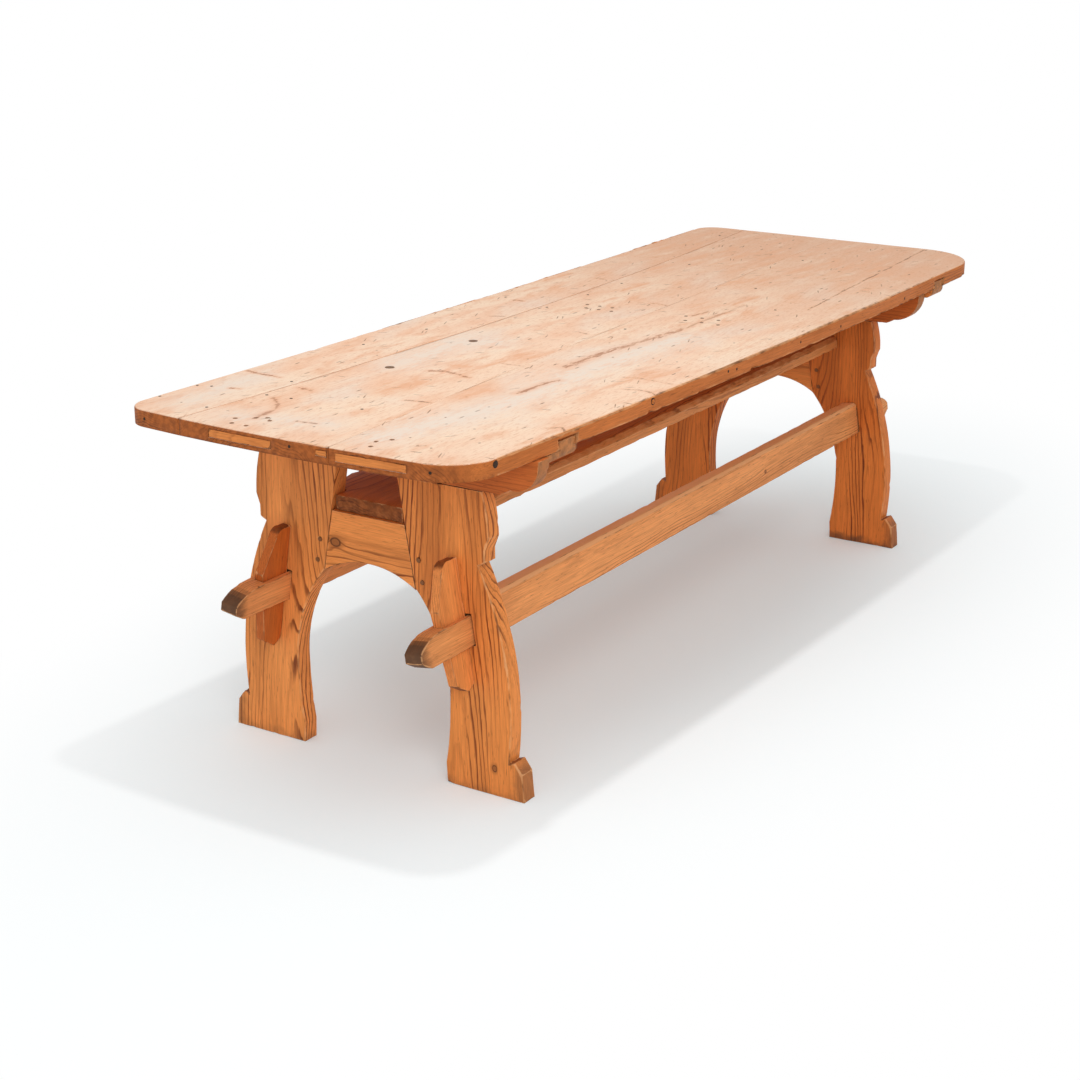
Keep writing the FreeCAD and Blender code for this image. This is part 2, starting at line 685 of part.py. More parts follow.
def crosspiece_joint(side, end_slack="0", start="0"):
    """The crosspiece's tenon, whose shoulder and end follow the leg's inner edge."""
    low = f"({ARCH_SPRING} + crosspiece_tenon_low)"
    high = f"({CROSSPIECE_TOP} - crosspiece_tenon_high)"
    path = [
        (f"{inner_edge(low)} - {start}", low),
        (f"{inner_edge(low)} + crosspiece_tenon + {end_slack}", low),
        (f"{inner_edge(high)} + crosspiece_tenon + {end_slack}", high),
        (f"{inner_edge(high)} - {start}", high),
    ]
    return [mirrored(side, step) for step in path]


def leg_joint(side, end, end_slack="0", start="0"):
    """The leg's tenon in the bearer."""
    low = f"({bearer_low(end)} - {start})"
    high = f"({bearer_low(end)} + leg_tenon + {end_slack})"
    path = [
        ("leg_top_in + leg_tenon_inset", low),
        ("leg_top_out - leg_tenon_inset", low),
        ("leg_top_out - leg_tenon_inset", high),
        ("leg_top_in + leg_tenon_inset", high),
    ]
    return [mirrored(side, step) for step in path]


def crosspiece_peg_places(side):
    heights = [f"({ARCH_SPRING} + peg_low)", f"({ARCH_SPRING} + peg_low + peg_pitch)"]
    return [mirrored(side, (f"{inner_edge(height)} + peg_setback", height)) for height in heights]


def bearer_peg_places(side, end):
    return [mirrored(side, ("(leg_top_in + leg_top_out) / 2", f"{bearer_low(end)} + leg_tenon / 2"))]


def stretcher_mortise(place):
    """The leaning hole in a leg, with gaps above the tenon and on its outer side."""
    inner, outer = f"(-{TENON_THICK} / 2)", f"({TENON_THICK} / 2 + mortise_side_slack)"
    low, high = "tenon_rise", f"({TENON_TOP} + mortise_top_slack)"
    corners = [(inner, low), (outer, low), (outer, high), (inner, high)]
    return [mirrored(SIDES[place], leaned(place, across, along)) for across, along in corners]


def set_in_trestle(body, end, thick):
    """Puts a piece's outer face on the trestle's outer face."""
    outer = f"-{LEG_FACE}" if end == "near" else f"{LEG_FACE} - {thick}"
    bind(body, "Placement.Base.x", f"{outer} - {SHIFT}")


def make_leg(end, place):
    side = SIDES[place]
    leg = new_body(f"leg_{end}_{place}")
    pad(leg, draw(leg, "YZ_Plane", leg_outline(side, end)), "leg_thick")
    thick = measure("leg_thick")

    def is_worn(middle, points):
        on_face = close(middle.x, 0) or close(middle.x, thick)
        joined = close(middle.z, measure(bearer_low(end))) or close(middle.z, 0)
        inner = close(abs(middle.y), measure(inner_edge(middle.z)))
        return on_face and not joined and not inner

    dress(leg, "Chamfer", is_worn, "leg_arris")
    tenon = leg_joint(side, end, start="leg_tenon_inset")
    pad(leg, draw(leg, "YZ_Plane", tenon, JOINT_LIFT), "joint_thick")
    mortise = crosspiece_joint(side, "joint_slack", "overrun")
    pocket(leg, draw(leg, "YZ_Plane", mortise, JOINT_LIFT), "joint_thick")
    pocket(leg, draw(leg, "YZ_Plane", stretcher_mortise(place)))
    holes = crosspiece_peg_places(side) + bearer_peg_places(side, end)
    pocket(leg, draw_peg_holes(leg, "YZ_Plane", holes, "peg_dia"))
    set_in_trestle(leg, end, "leg_thick")


def make_crosspiece(end):
    """The arched rail between a pair of legs, flush with their outer faces."""
    rail = new_body(f"crosspiece_{end}")
    top_half = f"({inner_edge(CROSSPIECE_TOP)} - shoulder_gap)"
    low_half = "(arch_half - shoulder_gap)"
    outline = [
        (f"-{top_half}", CROSSPIECE_TOP),
        (top_half, CROSSPIECE_TOP),
        (low_half, ARCH_SPRING),
        ("0", f"{ARCH_SPRING} + arch_rise", f"-{low_half}", ARCH_SPRING),
    ]
    pad(rail, draw(rail, "YZ_Plane", outline), "crosspiece_thick")
    lift = JOINT_LIFT if end == "near" else f"(crosspiece_thick - joint_thick - {JOINT_LIFT})"
    holes = []
    for side in SIDES.values():
        tenon = crosspiece_joint(side, start="crosspiece_tenon_high")
        pad(rail, draw(rail, "YZ_Plane", tenon, lift), "joint_thick")
        holes += crosspiece_peg_places(side)
    pocket(rail, draw_peg_holes(rail, "YZ_Plane", holes, "peg_dia"))
    set_in_trestle(rail, end, "crosspiece_thick")


def make_bearer(end):
    """The cross bar that carries the top, with a bevel and a rounded nose under each end."""
    bearer = new_body(f"bearer_{end}")
    half = f"({HALF_WIDTH} - bearer_short)"
    step_out = f"({half} - bearer_nose)"
    flat = f"({step_out} - bearer_step_run)"
    low = bearer_low(end)
    step_up = f"({low} + bearer_step)"
    land = f"({UNDERSIDE} - bearer_land)"
    via_out = f"({step_out} + {NOSE_SHARES[0]} * ({half} - {step_out}))"
    via_up = f"({step_up} + {NOSE_SHARES[1]} * ({land} - {step_up}))"
    outline = [
        (f"-{flat}", low),
        (flat, low),
        (step_out, step_up),
        (via_out, via_up, half, land),
        (half, UNDERSIDE),
        (f"-{half}", UNDERSIDE),
        (f"-{half}", land),
        (f"-{via_out}", via_up, f"-{step_out}", step_up),
    ]
    pad(bearer, draw(bearer, "YZ_Plane", outline), "leg_thick")
    holes = []
    for side in SIDES.values():
        mortise = leg_joint(side, end, "joint_slack", "overrun")
        pocket(bearer, draw(bearer, "YZ_Plane", mortise, JOINT_LIFT), "joint_thick")
        holes += bearer_peg_places(side, end)
    pocket(bearer, draw_peg_holes(bearer, "YZ_Plane", holes, "peg_dia"))
    set_in_trestle(bearer, end, "leg_thick")


def make_trestle_pegs(end):
    """Pegs right through the trestle's joints. Those of the crosspiece stand a little proud on both
    faces. Those of the bearer are cut flush, because a wedge passes them as it is drawn out."""
    face = f"-{LEG_FACE}" if end == "near" else LEG_BACK
    joints = [("crosspiece", crosspiece_peg_places, "peg_proud"),
              ("bearer", lambda side: bearer_peg_places(side, end), "0")]
    for joint, places, proud in joints:
        start = f"{face} - {SHIFT} - {proud}"
        rods = []
        for side in SIDES.values():
            for across, height in places(side):
                place = (start, across, height)
                rods.append(hewn_rod(f"{joint}_peg", "peg_dia", f"leg_thick + 2 * {proud}", place, "x"))
        group(f"{joint}_pegs_{end}", rods)


def make_long_board():
    """The loose board on the crosspieces: its narrow ends pass between the legs, and its shoulders
    stop at them."""
    board = new_body("long_board")
    tongue = f"({inner_edge(f'{CROSSPIECE_TOP} + board_thick')} - board_clear)"
    shoulder = f"({LEG_BACK} - board_clear)"
    tip = f"({LEG_FACE} - board_setback)"
    back = [(tip, tongue), (shoulder, tongue), (shoulder, "board_back")]
    front = [(tip, tongue), (shoulder, tongue), (shoulder, "board_front")]
    corners = [(1, 1, back), (-1, 1, back[::-1]), (-1, -1, front), (1, -1, front[::-1])]
    outline = [(f"{way} * {along}", f"{side} * {across}")
               for way, side, points in corners for along, across in points]
    pad(board, draw(board, "XY_Plane", outline, CROSSPIECE_TOP), "board_thick")
    upper = measure(f"{CROSSPIECE_TOP} + board_thick")

    def is_long_upper_edge(middle, points):
        return close(middle.z, upper) and close(middle.x, 0)

    dress(board, "Chamfer", is_long_upper_edge, "board_chamfer")
    bind(board, "Placement.Base.x", f"-{SHIFT}")


def lean_in_place(body, place):
    """Stands a piece on the stretcher's foot line and leans it with the legs."""
    side = SIDES[place]
    body.Placement = Placement(Vector(), Rotation(Vector(side, 0, 0), measure(LEAN)))
    bind(body, "Placement.Base.x", f"-{SHIFT}")
    bind(body, "Placement.Base.y", f"{side} * stretcher_out")
    bind(body, "Placement.Base.z", stretcher_low(place))
    bind(body, "Placement.Rotation.Angle", LEAN)


def tenon_outline(way):
    """A through tenon from the side: rounded above and bevelled below at its end."""
    root = f"({LEG_BACK} - stretcher_height)"
    tip = f"({LEG_FACE} + tenon_reach)"
    via_along = f"({tip} - {CROWN_SHARES[0]} * tenon_crown_run)"
    via_up = f"({TENON_TOP} - {CROWN_SHARES[1]} * tenon_crown_drop)"
    path = [
        (root, "tenon_rise"),
        (f"{tip} - tenon_keel_run", "tenon_rise"),
        (tip, "tenon_rise + tenon_keel_rise"),
        (tip, f"{TENON_TOP} - tenon_crown_drop"),
        (via_along, via_up, f"{tip} - tenon_crown_run", TENON_TOP),
        (root, TENON_TOP),
    ]
    return [mirrored(way, step) for step in path]


def slot_outline(way):
    """The wedge's slot from the side: upright behind the leg's face, tapered on the outer side."""
    inner = f"({LEG_FACE} - slot_draw)"
    low, high = "(-overrun)", "(stretcher_height + overrun)"
    path = [
        (inner, low),
        (f"{LEG_FACE} + {wedge_edge(low)} + wedge_clear", low),
        (f"{LEG_FACE} + {wedge_edge(high)} + wedge_clear", high),
        (inner, high),
    ]
    return [mirrored(way, step) for step in path]


def make_stretcher(place):
    """A long rail with a slotted through tenon at each end."""
    rail = new_body(f"stretcher_{place}")
    outline = [(f"-{LEG_BACK}", "0"), (LEG_BACK, "0"), (LEG_BACK, "stretcher_height"),
               (f"-{LEG_BACK}", "stretcher_height")]
    pad(rail, draw(rail, "XZ_Plane", outline), "stretcher_thick", both_ways=True)
    upper = measure("stretcher_height")

    def is_long_upper_edge(middle, points):
        return close(middle.z, upper) and close(middle.x, 0)

    dress(rail, "Chamfer", is_long_upper_edge, "stretcher_chamfer")
    for way in ENDS.values():
        pad(rail, draw(rail, "XZ_Plane", tenon_outline(way)), TENON_THICK, both_ways=True)
        slot = draw(rail, "XZ_Plane", slot_outline(way))
        pocket(rail, slot, "wedge_thick + 2 * wedge_clear", both_ways=True)
    lean_in_place(rail, place)


def make_wedge(end, place):
    """A flat key with a tapered outer edge, a sloping head and a blunt pointed tip."""
    wedge = new_body(f"wedge_{end}_{place}")
    face = f"({LEG_FACE} + wedge_clear)"
    drop = "back_wedge_drop" if place == "back" else "0"
    low = f"(-wedge_below - {drop})"
    high = f"(wedge_above - {drop})"
    shoulder = f"(wedge_shoulder - {drop})"
    head = f"({LEG_FACE} + {WEDGE_HEAD_SHARES[end, place]} * wedge_depth)"
    tip = f"({LEG_FACE} + {TIP_SHARE} * {wedge_edge(low)})"
    outer_low = f"({low} + wedge_tip_out)"
    head_top = f"({LEG_FACE} + {HEAD_SHARES[0]} * ({head} - {LEG_FACE}))"
    head_via = f"({LEG_FACE} + {HEAD_SHARES[1]} * ({head} - {LEG_FACE}))"
    path = [
        (face, f"{low} + wedge_tip_back"),
        (tip, low),
        (f"{LEG_FACE} + {wedge_edge(outer_low)}", outer_low),
        (f"{LEG_FACE} + {wedge_edge(shoulder)}", shoulder),
        (head, f"{high} - wedge_head_drop"),
        (head_via, f"{high} - {HEAD_SHARES[2]} * wedge_head_drop", head_top, high),
        (face, high),
    ]
    outline = [mirrored(ENDS[end], step) for step in path]
    pad(wedge, draw(wedge, "XZ_Plane", outline), "wedge_thick", both_ways=True)
    lean_in_place(wedge, place)


def check_and_write():
    """Stops on any failed feature or bad solid, then writes one file for each piece."""
    doc.recompute()
    for item in doc.Objects:
        if "Invalid" in item.State or "Error" in item.State:
            raise RuntimeError(f"{item.Label} failed: {item.State}")
    os.makedirs("parts", exist_ok=True)
    for node in nodes:
        if node.Shape.isNull() or not node.Shape.isValid():
            raise RuntimeError(f"{node.Label} has no valid shape")
    for node in nodes:
        node.Shape.exportStep(f"parts/{node.Label}.step")
        print(node.Label, len(node.Shape.Solids), "solids", round(node.Shape.Volume / 1000), "cm3")


make_plank_back()
make_plank_middle()
make_plank_front()
for seam_name in ("back", "front"):
    make_dowels(seam_name)
make_end_tongues()
for end_name in ENDS:
    make_batten(end_name)
    make_bearer(end_name)
    make_crosspiece(end_name)
    make_trestle_pegs(end_name)
make_long_board()
for place_name in SIDES:
    make_stretcher(place_name)
    for end_name in ENDS:
        make_leg(end_name, place_name)
        make_wedge(end_name, place_name)
check_and_write()
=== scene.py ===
import math
import bmesh
import bpy
import numpy as np
from mathutils import Matrix, Vector, noise
from mathutils.bvhtree import BVHTree


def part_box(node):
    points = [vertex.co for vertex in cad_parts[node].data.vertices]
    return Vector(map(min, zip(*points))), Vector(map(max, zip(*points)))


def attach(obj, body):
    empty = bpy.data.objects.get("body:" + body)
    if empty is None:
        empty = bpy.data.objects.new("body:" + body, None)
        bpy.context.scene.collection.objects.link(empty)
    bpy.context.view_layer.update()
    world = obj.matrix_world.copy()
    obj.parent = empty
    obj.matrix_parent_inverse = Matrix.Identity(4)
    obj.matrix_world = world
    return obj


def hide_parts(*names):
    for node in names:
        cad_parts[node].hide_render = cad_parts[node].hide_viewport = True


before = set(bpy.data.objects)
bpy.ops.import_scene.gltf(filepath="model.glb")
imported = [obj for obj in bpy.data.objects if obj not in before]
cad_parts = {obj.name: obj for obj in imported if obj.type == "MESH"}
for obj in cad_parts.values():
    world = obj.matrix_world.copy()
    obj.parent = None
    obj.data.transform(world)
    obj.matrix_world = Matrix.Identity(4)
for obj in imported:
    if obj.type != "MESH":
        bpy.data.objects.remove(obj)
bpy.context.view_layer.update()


# Legs: four boards of old pine, sawn to shape by hand, with a spurred foot, a bowed calf and half of
# an arch. The tenon of each goes up into its bearer. Years of wear have rounded and nicked the edges.
SHARP_ANGLE = math.radians(20)
MERGE_GAP = 1e-5
FLAT_ANGLE = math.radians(0.5)
SHORTEST_EDGE = 0.005
ARRIS_SEGMENTS = 2
TIP_SEGMENTS = 3


def merged_copy(node):
    """The node's solid as one closed mesh, with its flat faces whole."""
    shape = bmesh.new()
    shape.from_mesh(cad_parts[node].data)
    bmesh.ops.remove_doubles(shape, verts=shape.verts[:], dist=MERGE_GAP)
    bmesh.ops.dissolve_limit(shape, angle_limit=FLAT_ANGLE, verts=shape.verts[:],
                             edges=shape.edges[:])
    return shape


def sharp_edges(shape, shortest):
    """Edges where two faces meet at an angle, but not the short ones round peg holes."""
    return [edge for edge in shape.edges if len(edge.link_faces) == 2
            and edge.calc_face_angle() > SHARP_ANGLE and edge.calc_length() > shortest]


def bevel(shape, edges, offset, segments):
    """Rounds edges, and lets no edge grow past its neighbours."""
    bmesh.ops.bevel(shape, geom=edges, offset=offset, offset_type="OFFSET", affect="EDGES",
                    segments=segments, profile=0.5, material=-1, clamp_overlap=True)


def round_tips(shape, grain, reach, offset):
    """Rounds the edges close to the two ends of a piece, as an axe and long use leave them."""
    along = Vector(grain[0])
    places = [vert.co.dot(along) for vert in shape.verts]
    low, high = min(places) + reach, max(places) - reach
    tips = [edge for edge in sharp_edges(shape, 0)
            if all(not low < vert.co.dot(along) < high for vert in edge.verts)]
    bevel(shape, tips, offset, TIP_SEGMENTS)


def cut_into_cells(shape, cells):
    """Cuts every face along evenly spaced planes, so that wear can shape it."""
    for axis, cell in enumerate(cells):
        places = [vert.co[axis] for vert in shape.verts]
        low, high = min(places), max(places)
        count = round((high - low) / cell)
        direction = Vector([float(number == axis) for number in range(3)])
        for step in range(1, count):
            place = direction * (low + (high - low) * step / count)
            everything = shape.verts[:] + shape.edges[:] + shape.faces[:]
            bmesh.ops.bisect_plane(shape, geom=everything, dist=MERGE_GAP, plane_co=place,
                                   plane_no=direction)


def distance_to(points, starts, ends):
    """Least distance from each point to a set of straight edges."""
    least = np.full(len(points), np.inf)
    for start, end in zip(starts, ends):
        run = end - start
        share = np.clip((points - start) @ run / (run @ run), 0, 1)
        gap = np.linalg.norm(points - start - share[:, None] * run, axis=1)
        least = np.minimum(least, gap)
    return least


def wear_down(shape, edges, grain, worn):
    """Rubs and nicks the wood, and notes where its edges, end grain and upper faces are."""
    points = np.array([vert.co[:] for vert in shape.verts])
    gaps = distance_to(points, *edges)
    bmesh.ops.recalc_face_normals(shape, faces=shape.faces[:])
    shape.normal_update()
    wear_layer = shape.verts.layers.float.new("wear")
    end_layer = shape.faces.layers.float.new("end_grain")
    upper_layer = shape.faces.layers.float.new("upper")
    for face in shape.faces:
        face[end_layer] = abs(face.normal.dot(Vector(grain[0])))
        face[upper_layer] = face.normal.z
    moves = []
    for vert, gap in zip(shape.verts, gaps):
        near = math.exp(-gap / worn["reach"])
        vert[wear_layer] = near
        wave = 0.5 + 0.5 * noise.noise(vert.co * worn["wave_scale"])
        nick = max(0.0, noise.noise(vert.co * worn["nick_scale"]) - worn["nick_least"])
        rub = 0.5 + 0.5 * noise.noise(vert.co * worn["rub_scale"])
        move = worn["wave"] * wave + near * (worn["rub"] * rub + worn["nick"] * nick)
        moves.append(worn["held_move"] if worn["is_held"](vert) else move)
    for vert, move in zip(shape.verts, moves):
        vert.co -= vert.normal * move


# How a piece wears, in metres: a slow wave all over, rubbing and nicks within reach of the edges.
WORN_FRAME = {
    "reach": 0.004, "wave": 0.0004, "wave_scale": 14, "rub": 0.0013, "rub_scale": 20,
    "nick": 0.006, "nick_scale": 55, "nick_least": 0.3,
    "is_held": lambda vert: False, "held_move": 0,
}


def link(name, shape, finish, body):
    """Makes an object of a finished shape and lets it ride with a body."""
    for face in shape.faces:
        face.smooth = True
    mesh = bpy.data.meshes.new(name)
    shape.to_mesh(mesh)
    shape.free()
    mesh.materials.append(finish)
    piece = bpy.data.objects.new(name, mesh)
    bpy.context.scene.collection.objects.link(piece)
    piece.modifiers.new("even_shading", "WEIGHTED_NORMAL")
    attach(piece, body)
    return piece


def worn_piece(node, body, grain, finish, cells, arris, worn=WORN_FRAME, tips=None,
               is_kept=None):
    """A copy of the node's solid with softened, worn edges, which stands for the node."""
    shape = merged_copy(node)
    if tips:
        round_tips(shape, grain, *tips)
    sharp = [edge for edge in sharp_edges(shape, SHORTEST_EDGE) if not (is_kept and is_kept(edge))]
    starts = np.array([edge.verts[0].co[:] for edge in sharp])
    ends = np.array([edge.verts[1].co[:] for edge in sharp])
    bevel(shape, sharp, arris, ARRIS_SEGMENTS)
    cut_into_cells(shape, cells)
    wear_down(shape, (starts, ends), grain, worn)
    piece = link(node + "_worn", shape, finish, body)
    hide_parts(node)
    return piece


def put(tree, kind, sockets, **settings):
    """Adds a node, sets its options, and fills its sockets with numbers, colours or links."""
    made = tree.nodes.new("ShaderNode" + kind)
    for name, value in settings.items():
        setattr(made, name, value)
    for name, value in sockets.items():
        if isinstance(value, bpy.types.NodeSocket):
            tree.links.new(value, made.inputs[name])
        else:
            made.inputs[name].default_value = value
    return made


def work(tree, operation, *values):
    """Plain sums on single values."""
    return put(tree, "Math", dict(enumerate(values)), operation=operation).outputs[0]


def steer(tree, operation, *values):
    """Sums on places and directions."""
    return put(tree, "VectorMath", dict(enumerate(values)), operation=operation).outputs[0]


def length(tree, vector):
    """How long a vector is."""
    return put(tree, "VectorMath", {0: vector}, operation="LENGTH").outputs["Value"]


def between(tree, value, low, high, start=0.0, end=1.0):
    """A soft step: start up to low, end from high on."""
    sockets = {"Value": value, "From Min": low, "From Max": high, "To Min": start, "To Max": end}
    return put(tree, "MapRange", sockets, interpolation_type="SMOOTHSTEP").outputs[0]


def cloud(tree, place, stretch, detail=2.0, roughness=0.5):
    """Noise whose size is set by the stretch along, across and through the wood."""
    stretched = steer(tree, "MULTIPLY", place, stretch)
    sockets = {"Vector": stretched, "Scale": 1.0, "Detail": detail, "Roughness": roughness}
    return put(tree, "TexNoise", sockets)


NOISE_MIDDLE = (0.5, 0.5, 0.5)


def swayed(tree, place, stretch, amount):
    """Shifts a place by a soft noise of the given size."""
    shift = steer(tree, "SUBTRACT", cloud(tree, place, stretch).outputs["Color"], NOISE_MIDDLE)
    return steer(tree, "ADD", place, steer(tree, "MULTIPLY", shift, amount))


def tint(tree, share, first, second, blend_type="MIX"):
    """Lays a share of the second colour over the first."""
    mixed = put(tree, "Mix", {0: share, 6: first, 7: second}, data_type="RGBA", blend_type=blend_type)
    return mixed.outputs[2]


def opaque(colour):
    """The colour as a socket takes it."""
    return (*colour, 1.0)


def noted(tree, name):
    """A value that was noted on the mesh."""
    return put(tree, "Attribute", {}, attribute_name=name).outputs["Fac"]


KNOT_LENGTH = 1.35
KNOT_RIM = (0.085, 0.030, 0.010)
KNOT_HEART = (0.36, 0.12, 0.032)


def knot_gap(tree, place, knot):
    """Distance from a knot's centre, in knot radii, longer along the grain."""
    along, across, radius = knot
    shifted = steer(tree, "SUBTRACT", place, (along, across, 0))
    return length(tree, steer(tree, "MULTIPLY", shifted, (1 / (radius * KNOT_LENGTH), 1 / radius, 0)))


def add_knots(tree, gaps, colour, dark):
    """Knots with a brown heart, a black rim and darker wood round them."""
    for gap in gaps:
        heart = between(tree, gap, 0.85, 1.05, 0.85, 0.0)
        rim = work(tree, "MULTIPLY", between(tree, gap, 0.7, 0.95),
                   between(tree, gap, 1.0, 1.3, 0.85, 0.0))
        colour = tint(tree, between(tree, gap, 1.0, 2.6, 0.45, 0.0), colour, opaque(dark))
        colour = tint(tree, heart, colour, opaque(KNOT_HEART))
        colour = tint(tree, rim, colour, opaque(KNOT_RIM))
    return colour


WORN_PALE = (0.86, 0.44, 0.19)
WORN_DIRT = (0.13, 0.05, 0.018)
END_BROWN = (0.26, 0.075, 0.02)
# Marks in pine: cells of noise a metre along, across and through the board.
TRUNK_SWAY = (1.1, 5, 5)
RING_WAVER = (9, 60, 60)
FIGURE_SWELL = (2.4, 13, 13)
RING_BANDS = (0.6, 11, 11)
FIBRES = (14, 420, 420)
RESIN_DASHES = (40, 420, 420)
COLOUR_DRIFT = (2.2, 16, 16)
SMALL_DENTS = (70, 110, 110)
PATCHES = (28, 80, 80)
SWAY = 0.02
KNOT_PULL = 1.6
PINE_SPECULAR = 0.2
PINE_BUMP = {"Strength": 0.5, "Distance": 0.0008}


def pine(name, node, grain, pith, ring, pale, dark, knots=(), figure=0.016, taper=0.012,
         contrast=1.0, end_tint=END_BROWN, end_least=0.5, surface=None, gloss=0.5, rub=0.6):
    """Solid pine: growth rings round a heart beside the board, knots, fibres, wear and end grain."""
    finish = bpy.data.materials.new(name)
    finish.use_nodes = True
    tree = finish.node_tree
    shader = tree.nodes["Principled BSDF"]
    low, high = (Vector(corner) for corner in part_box(node))
    turn = Matrix(grain)
    spot = put(tree, "TexCoord", {}).outputs["Object"]
    place = put(tree, "Mapping", {"Vector": spot, "Location": -(turn @ (low + high)) / 2,
                                  "Rotation": turn.to_euler()}).outputs[0]
    along = put(tree, "SeparateXYZ", {0: place}).outputs[0]
    # Growth rings, which sway with the trunk, swell into figure and flow round each knot
    bent = swayed(tree, place, TRUNK_SWAY, (0, 2 * SWAY, 2 * SWAY))
    bent = swayed(tree, bent, RING_WAVER, (0, ring, ring))
    from_pith = steer(tree, "SUBTRACT", bent, (0, *pith))
    radius = length(tree, steer(tree, "MULTIPLY", from_pith, (0, 1, 1)))
    radius = work(tree, "MULTIPLY_ADD", along, taper, radius)
    swell = cloud(tree, place, FIGURE_SWELL, 1.0).outputs[0]
    radius = work(tree, "MULTIPLY_ADD", swell, 2 * figure, radius)
    gaps = [knot_gap(tree, bent, knot) for knot in knots]
    for gap, knot in zip(gaps, knots):
        pull = work(tree, "DIVIDE", knot[2] * KNOT_PULL, work(tree, "MULTIPLY_ADD", gap, gap, 1.0))
        radius = work(tree, "ADD", radius, pull)
    count = work(tree, "DIVIDE", radius, ring)
    phase = work(tree, "FRACT", count)
    number = work(tree, "FLOOR", count)
    year = put(tree, "TexWhiteNoise", {"W": number}, noise_dimensions="1D").outputs[0]
    late = work(tree, "MULTIPLY", between(tree, phase, 0.58, 0.88),
                between(tree, phase, 0.92, 1.0, 1.0, 0.0))
    late = work(tree, "MULTIPLY", late, work(tree, "MULTIPLY_ADD", year, 0.65, 0.35))
    bands = cloud(tree, bent, RING_BANDS, 1.0).outputs[0]
    late = work(tree, "MULTIPLY", late, between(tree, bands, 0.42, 0.58, 0.15, 1.0))
    # Fibres, resin dashes and the drift of colour along the board
    fibre = cloud(tree, place, FIBRES, 3.0, 0.6).outputs[0]
    dash = between(tree, cloud(tree, place, RESIN_DASHES, 1.0).outputs[0], 0.66, 0.74, 0.0, 0.4)
    drift = cloud(tree, place, COLOUR_DRIFT, 4.0, 0.55).outputs[0]
    colour = tint(tree, work(tree, "MULTIPLY", late, contrast), opaque(pale), opaque(dark))
    deep = opaque([0.6 * light + 0.4 * shade for light, shade in zip(pale, dark)])
    colour = tint(tree, between(tree, drift, 0.42, 0.72, 0.0, 0.75), colour, deep)
    shade = work(tree, "MULTIPLY_ADD", fibre, 0.9, 0.56)
    grey = put(tree, "CombineColor", {0: shade, 1: shade, 2: shade}).outputs[0]
    colour = tint(tree, 1.0, colour, grey, "MULTIPLY")
    colour = tint(tree, dash, colour, opaque([0.45 * channel for channel in dark]))
    colour = add_knots(tree, gaps, colour, dark)
    dent = between(tree, cloud(tree, place, SMALL_DENTS, 1.0).outputs[0], 0.22, 0.36)
    # End grain, and ends that hands and damp have darkened
    patchy = cloud(tree, place, PATCHES, 3.0).outputs[0]
    end = between(tree, noted(tree, "end_grain"), end_least, end_least + 0.3)
    end = work(tree, "MULTIPLY", end, between(tree, patchy, 0.2, 0.6, 0.7, 0.95))
    ringed = work(tree, "MULTIPLY", between(tree, patchy, 0.3, 0.7), 0.5)
    end_look = tint(tree, work(tree, "MULTIPLY_ADD", late, 0.7, ringed), opaque(end_tint),
                    opaque([0.3 * channel for channel in end_tint]))
    colour = tint(tree, end, colour, end_look)
    if surface:
        colour, dent = surface(tree, spot, place, late, colour, dent)
    # Worn edges: pale where rubbed, dark where dirt has stayed
    wear = noted(tree, "wear")
    rubbed = between(tree, work(tree, "MULTIPLY_ADD", patchy, 0.9, wear), 1.15, 1.5, 0.0, rub)
    dirty = between(tree, work(tree, "MULTIPLY_ADD", patchy, -0.9, wear), 0.4, 0.6, 0.0, 0.7)
    colour = tint(tree, dirty, colour, opaque(WORN_DIRT))
    colour = tint(tree, rubbed, colour, opaque(WORN_PALE))
    # Ridges of late wood, fibres and small dents
    height = work(tree, "MULTIPLY_ADD", late, 0.35, work(tree, "MULTIPLY", fibre, 0.5))
    height = work(tree, "MULTIPLY_ADD", dent, 0.6, height)
    bump = put(tree, "Bump", {**PINE_BUMP, "Height": height})
    rough = work(tree, "MULTIPLY_ADD", drift, 0.35, gloss - 0.1)
    tree.links.new(colour, shader.inputs["Base Color"])
    tree.links.new(rough, shader.inputs["Roughness"])
    tree.links.new(bump.outputs[0], shader.inputs["Normal"])
    shader.inputs["Specular IOR Level"].default_value = PINE_SPECULAR
    return finish


SOIL = (0.11, 0.052, 0.028)
SOIL_PATCHES = (40, 40, 40)
SOIL_HEIGHT = (0.022, 0.052)
SPUR_REACH = (0.358, 0.392)
SPUR_TOP = (0.06, 0.1)
SPUR_SOIL = 0.52


def soiled(strength):
    """The look of a foot: dirt from the floor, and a worn, darkened spur."""
    def surface(tree, spot, place, late, colour, dent):
        across, height = put(tree, "SeparateXYZ", {0: spot}).outputs[1:]
        rough_edge = cloud(tree, spot, SOIL_PATCHES, 3.0).outputs[0]
        ragged_height = work(tree, "MULTIPLY_ADD", rough_edge, 0.05, height)
        low = between(tree, ragged_height, *SOIL_HEIGHT, strength, 0.0)
        out = work(tree, "MULTIPLY_ADD", rough_edge, 0.04, work(tree, "ABSOLUTE", across))
        spur = work(tree, "MULTIPLY", between(tree, out, *SPUR_REACH, 0.0, SPUR_SOIL),
                    between(tree, height, *SPUR_TOP, 1.0, 0.0))
        return tint(tree, work(tree, "MAXIMUM", low, spur), colour, opaque(SOIL)), dent

    return surface


UPRIGHT = ((0, 0, 1), (0, 1, 0), (-1, 0, 0))
HONEY = (0.82, 0.275, 0.063)
STRAW = (0.88, 0.315, 0.080)
AMBER = (0.71, 0.203, 0.038)
RUST = (0.19, 0.040, 0.008)
LEG_CELL = 0.009
LEG_ARRIS = 0.0008
LEG_TAPER = 0.05
LEG_CONTRAST = 1.45
